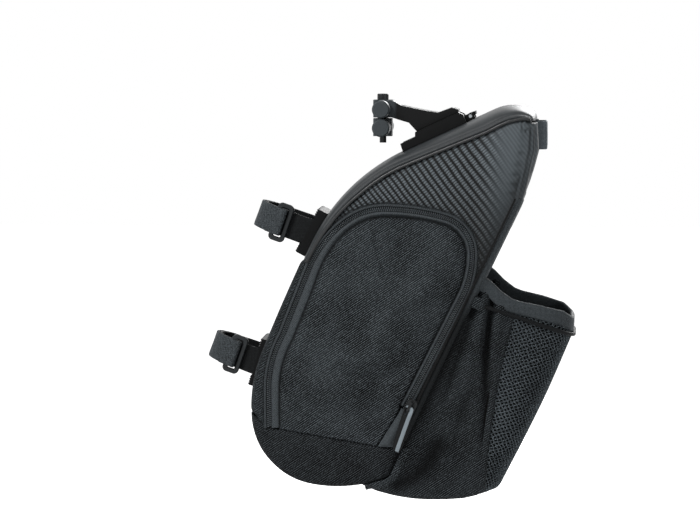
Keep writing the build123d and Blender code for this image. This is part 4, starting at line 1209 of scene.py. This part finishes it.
def tape(name, path, width_axis, width, thickness, finish, body, slot, ripple=0.0):
    """A flat tape swept along 3-D points, its width along width_axis and its edges rounded."""
    path = resample(path, 1.2)
    along = tangents(path)
    wide = np.broadcast_to(unit(width_axis), path.shape)
    out = np.cross(along, wide)
    out /= np.linalg.norm(out, axis=1)[:, None]
    turns = np.linspace(0, 2 * pi, 17)[:-1]
    rows = []
    for turn in turns:
        across = squared(cos(turn)) * width / 2
        lift = squared(sin(turn)) * thickness / 2
        wave = ripple * np.sin(np.arange(len(path)) / 3.1 + across / 4.0)
        rows.append(path + wide * across + out * (lift + wave)[:, None])
    faces = grid_faces(len(path), len(turns), closed=True)
    verts = np.stack(rows, axis=1).reshape(-1, 3)
    last = (len(path) - 1) * len(turns)
    faces += [tuple(range(len(turns)))[::-1], tuple(range(last, last + len(turns)))]
    return make(name, verts, faces, finish, body, slot)


def turning(centre, radius, first, last, step=6.0):
    """Points round an arc in a plan, by angle in degrees."""
    step *= np.sign(last - first)
    angles = np.radians(np.arange(first, last + step / 2, step))
    return [(centre[0] + radius * cos(a), centre[1] + radius * sin(a)) for a in angles]


post_lean = radians(19.3)
post_up = np.array((sin(post_lean), 0.0, cos(post_lean)))
to_bag = np.array((cos(post_lean), 0.0, -sin(post_lean)))
strap_width = 20.0
strap_middles = {"upper": (-74.5, 0.0, -77.34), "lower": (-109.01, 0.0, -175.88)}
for place, middle_point in strap_middles.items():
    pad_low, pad_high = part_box(f"strap_pad_{place}")
    pad_middle = np.array((pad_low + pad_high) / 2) / MM
    pad_face = (pad_middle - middle_point) @ to_bag

    def strap_path(plan_points):
        return np.array([np.array(middle_point) + to_bag * a + np.array((0, 1, 0)) * y for a, y in plan_points])

    inner = [(pad_face, -20.0)] + turning((0, 0), 16.95, 270, 90, 6.0) + [(pad_face, 20.0)]
    name = f"strap_inner_{place}"
    tape(name, strap_path(inner), post_up, strap_width, 2.0, webbing_back, "bag", "webbing", ripple=0.12)
    outer = [(-3.2, -17.9)] + turning((0, 0), 19.25, 246, 114, 6.0) + [(-3.2, 17.9)]
    name = f"strap_outer_{place}"
    strap = tape(name, strap_path(outer), post_up, strap_width, 2.1, webbing, "bag", "webbing", ripple=0.18)
    fold = [(-3.2, -17.9), (-1.4, -19.4), (0.6, -21.6), (1.6, -22.6), (0.9, -23.5), (-1.0, -23.2)]
    fold += [(-5.0, -21.6), (-10.0, -19.6)]
    name = f"strap_fold_{place}"
    tape(name, strap_path(fold), post_up, strap_width, 1.7, webbing, "bag", "webbing", ripple=0.1)
    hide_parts(f"strap_{place}")

loop_path = np.array(
    [(113.5, -14.3, -12.3), (119.4, -14.3, -12.3), (121.4, -13.6, -12.3), (121.9, -11.6, -12.3), (121.9, 11.6, -12.3),
     (121.4, 13.6, -12.3), (119.4, 14.3, -12.3), (113.5, 14.3, -12.3)]
)
light_loop = tape("tail_loop", loop_path, (0, 0, 1), 21.0, 1.5, loop_tape, "bag", "grosgrain", ripple=0.1)
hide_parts("tail_light_loop")

for side, name in SIDES:
    low, high = (np.array(end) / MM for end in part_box(f"cord_tab_{name}"))
    centre = (low + high) / 2
    along = unit((cos(back_lean), side * -fall, -sin(back_lean)))
    up_back = (sin(back_lean), 0, cos(back_lean))
    outwards = unit(np.cross(along, up_back))
    outwards = outwards if outwards[1] * side > 0 else -outwards
    steps = ((-5.5, -1.2), (-2.5, 0.9), (2.5, 1.1), (4.6, 0.5), (4.9, -0.8), (2.0, -1.4))
    path = [centre + along * further + outwards * lift for further, lift in steps]
    tab = tape(f"cord_tab_cloth_{name}", path, up_back, 9.0, 1.3, nylon_in_painted_shade, "bag", "webbing")
    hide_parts(f"cord_tab_{name}")

# ---------------------------------------------------------------- zip pull
pull_top = np.array((23.8663, -67.8551, -208.8817))
pull_across = unit((0.9428, -0.1677, -0.2882))
pull_out = unit((-0.1533, -0.9855, 0.0721))
pull_down = np.cross(pull_across, pull_out)
pull_down = pull_down if pull_down[2] < 0 else -pull_down


def pull_place(points):
    return np.array([pull_top + pull_down * d + pull_across * a + pull_out * o for d, a, o in points])


# Points of the pull are (down, across, out) from its top. The ring is one half and its mirror image.
half_ring = [(-0.3, 0.0, 0.3), (0.0, -1.4, 0.2), (0.9, -2.6, 0.0), (6.0, -3.0, 0.0), (30.0, -3.0, 0.0)]
half_ring += [(33.0, -2.2, 0.0), (34.0, 0.0, 0.0)]
ring = half_ring + [(d, -a, o) for d, a, o in half_ring[-2::-1]]
pull = tube("pull_loop", pull_place(resample(ring, 0.6)), 0.75, pull_cord, "zip_pull", "pull_loop")
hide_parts("zip_pull")
web = [(d, 0.0, 0.0) for d in (7.0, 20.0, 33.4)]
tape("pull_body", pull_place(web), pull_across, 5.6, 1.5, pull_cord, "zip_pull", "pull_loop")
strip = [(0.9, -1.4, 1.1), (-0.3, -0.4, 1.3), (-0.4, 1.0, 1.4), (0.6, 2.0, 1.3), (3.0, 2.2, 1.1)]
strip += [(12.0, 1.6, 1.1), (34.2, 0.8, 1.0)]
strip_across = pull_across * 0.8 + pull_down * 0.12
tape("pull_strip", pull_place(strip), strip_across, 2.9, 1.0, reflective, "zip_pull", "pull_loop")

# ---------------------------------------------------------------- CAD nodes that keep their shape
def dress(finish, *names, bevel=0.25):
    for name in names:
        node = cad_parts[name]
        node.data.materials.clear()
        node.data.materials.append(finish)
        if bevel:
            edge = node.modifiers.new("worn edges", "BEVEL")
            edge.width = bevel * MM
            edge.segments = 2
            edge.limit_method = "ANGLE"
            edge.angle_limit = radians(35)


dress(jaw_plastic, "fixer_upper_jaw", "fixer_lower_jaw")
dress(clamp_plastic, "bag_bracket")
dress(black_plastic, "release_lever", bevel=0.15)
dress(black_plastic, "strap_pad_upper", "strap_pad_lower")
dress(ring_plastic, "strap_ring_upper", "strap_ring_lower", bevel=0.4)
dress(black_steel, "fixer_bolt", "zip_slider", bevel=0.15)
dress(steel, "fixer_nut", "lever_pin", "lever_spring", "bracket_screws", bevel=0)
dress(board, "backing_plate", "front_stiffener", bevel=0.3)

# ---------------------------------------------------------------- camera, floor and light
def aimed(made, place, target):
    made.location = Vector(place)
    made.rotation_euler = (Vector(target) - Vector(place)).to_track_quat("-Z", "Y").to_euler()
    bpy.context.scene.collection.objects.link(made)
    return made


lens = bpy.data.cameras.new("camera")
lens.lens = 169.0
lens.sensor_width = 36.0
camera = aimed(bpy.data.objects.new("camera", lens), (0.1472, -2.45, 0.0728), (-0.0212, -0.05, -0.1048))
bpy.context.scene.camera = camera


def lamp(name, place, target, size, power):
    light = bpy.data.lights.new(name, "AREA")
    light.shape = "RECTANGLE"
    light.size, light.size_y = size
    light.energy = power
    return aimed(bpy.data.objects.new(name, light), place, target)


middle = (0.0, 0.0, -0.13)
lamp("key", (-0.74, -0.7, 0.74), middle, (0.46, 0.46), 15.5)
lamp("fill", (1.4, -1.3, 0.1), middle, (0.9, 1.2), 5)
lamp("top", (0.2, 0.3, 1.4), middle, (1.2, 0.9), 6)
lamp("rear", (0.6, 1.6, 0.7), middle, (1.0, 1.0), 28)


def seen(tree):
    """1 for the rays that show the background: the camera's, and those off metal or through glass."""
    rays = tree.nodes.new("ShaderNodeLightPath").outputs
    share = rays["Is Camera Ray"]
    for kind in ("Is Glossy Ray", "Is Transmission Ray"):
        either = tree.nodes.new("ShaderNodeMath")
        either.operation = "MAXIMUM"
        tree.links.new(share, either.inputs[0])
        tree.links.new(rays[kind], either.inputs[1])
        share = either.outputs[0]
    return share


# The floor is matt and takes the bag's shadow. Away from the bag it glows up to plain white.
pale = Finish("pale floor", 0.9, specular=0.0)
pale.set("Base Color", (0.86, 0.86, 0.86, 1))
length = pale.node("ShaderNodeVectorMath", operation="LENGTH")
pale.feed(length.inputs[0], pale.place)
spread = pale.ramp(length.outputs["Value"], 0.35, 1.3, 0.32, 1.0)
glow = pale.node("ShaderNodeEmission")
pale.feed(glow.inputs["Strength"], pale.math("MULTIPLY", seen(pale.tree), spread))
both = pale.node("ShaderNodeAddShader")
pale.feed(both.inputs[0], pale.shader.outputs[0])
pale.feed(both.inputs[1], glow.outputs[0])
pale.feed(pale.tree.nodes["Material Output"].inputs["Surface"], both.outputs[0])
floor_depth, floor_reach = -0.46, 6
floor_mesh = bpy.data.meshes.new("floor")
floor_corners = [(x * floor_reach, y * floor_reach, floor_depth) for x, y in ((-1, -1), (1, -1), (1, 1), (-1, 1))]
floor_mesh.from_pydata(floor_corners, [], [(0, 1, 2, 3)])
floor = bpy.data.objects.new("floor", floor_mesh)
bpy.context.scene.collection.objects.link(floor)
floor_mesh.materials.append(pale.material)

world = bpy.data.worlds.new("world")
bpy.context.scene.world = world
world.use_nodes = True
plain_light = world.node_tree.nodes["Background"]
plain_light.inputs["Color"].default_value = (1, 1, 1, 1)
strength = world.node_tree.nodes.new("ShaderNodeMapRange")
strength.inputs["To Min"].default_value = 0.22
strength.inputs["To Max"].default_value = 1.0
world.node_tree.links.new(seen(world.node_tree), strength.inputs["Value"])
world.node_tree.links.new(strength.outputs["Result"], plain_light.inputs["Strength"])
bpy.context.scene.view_settings.view_transform = "Standard"

bpy.context.view_layer.update()
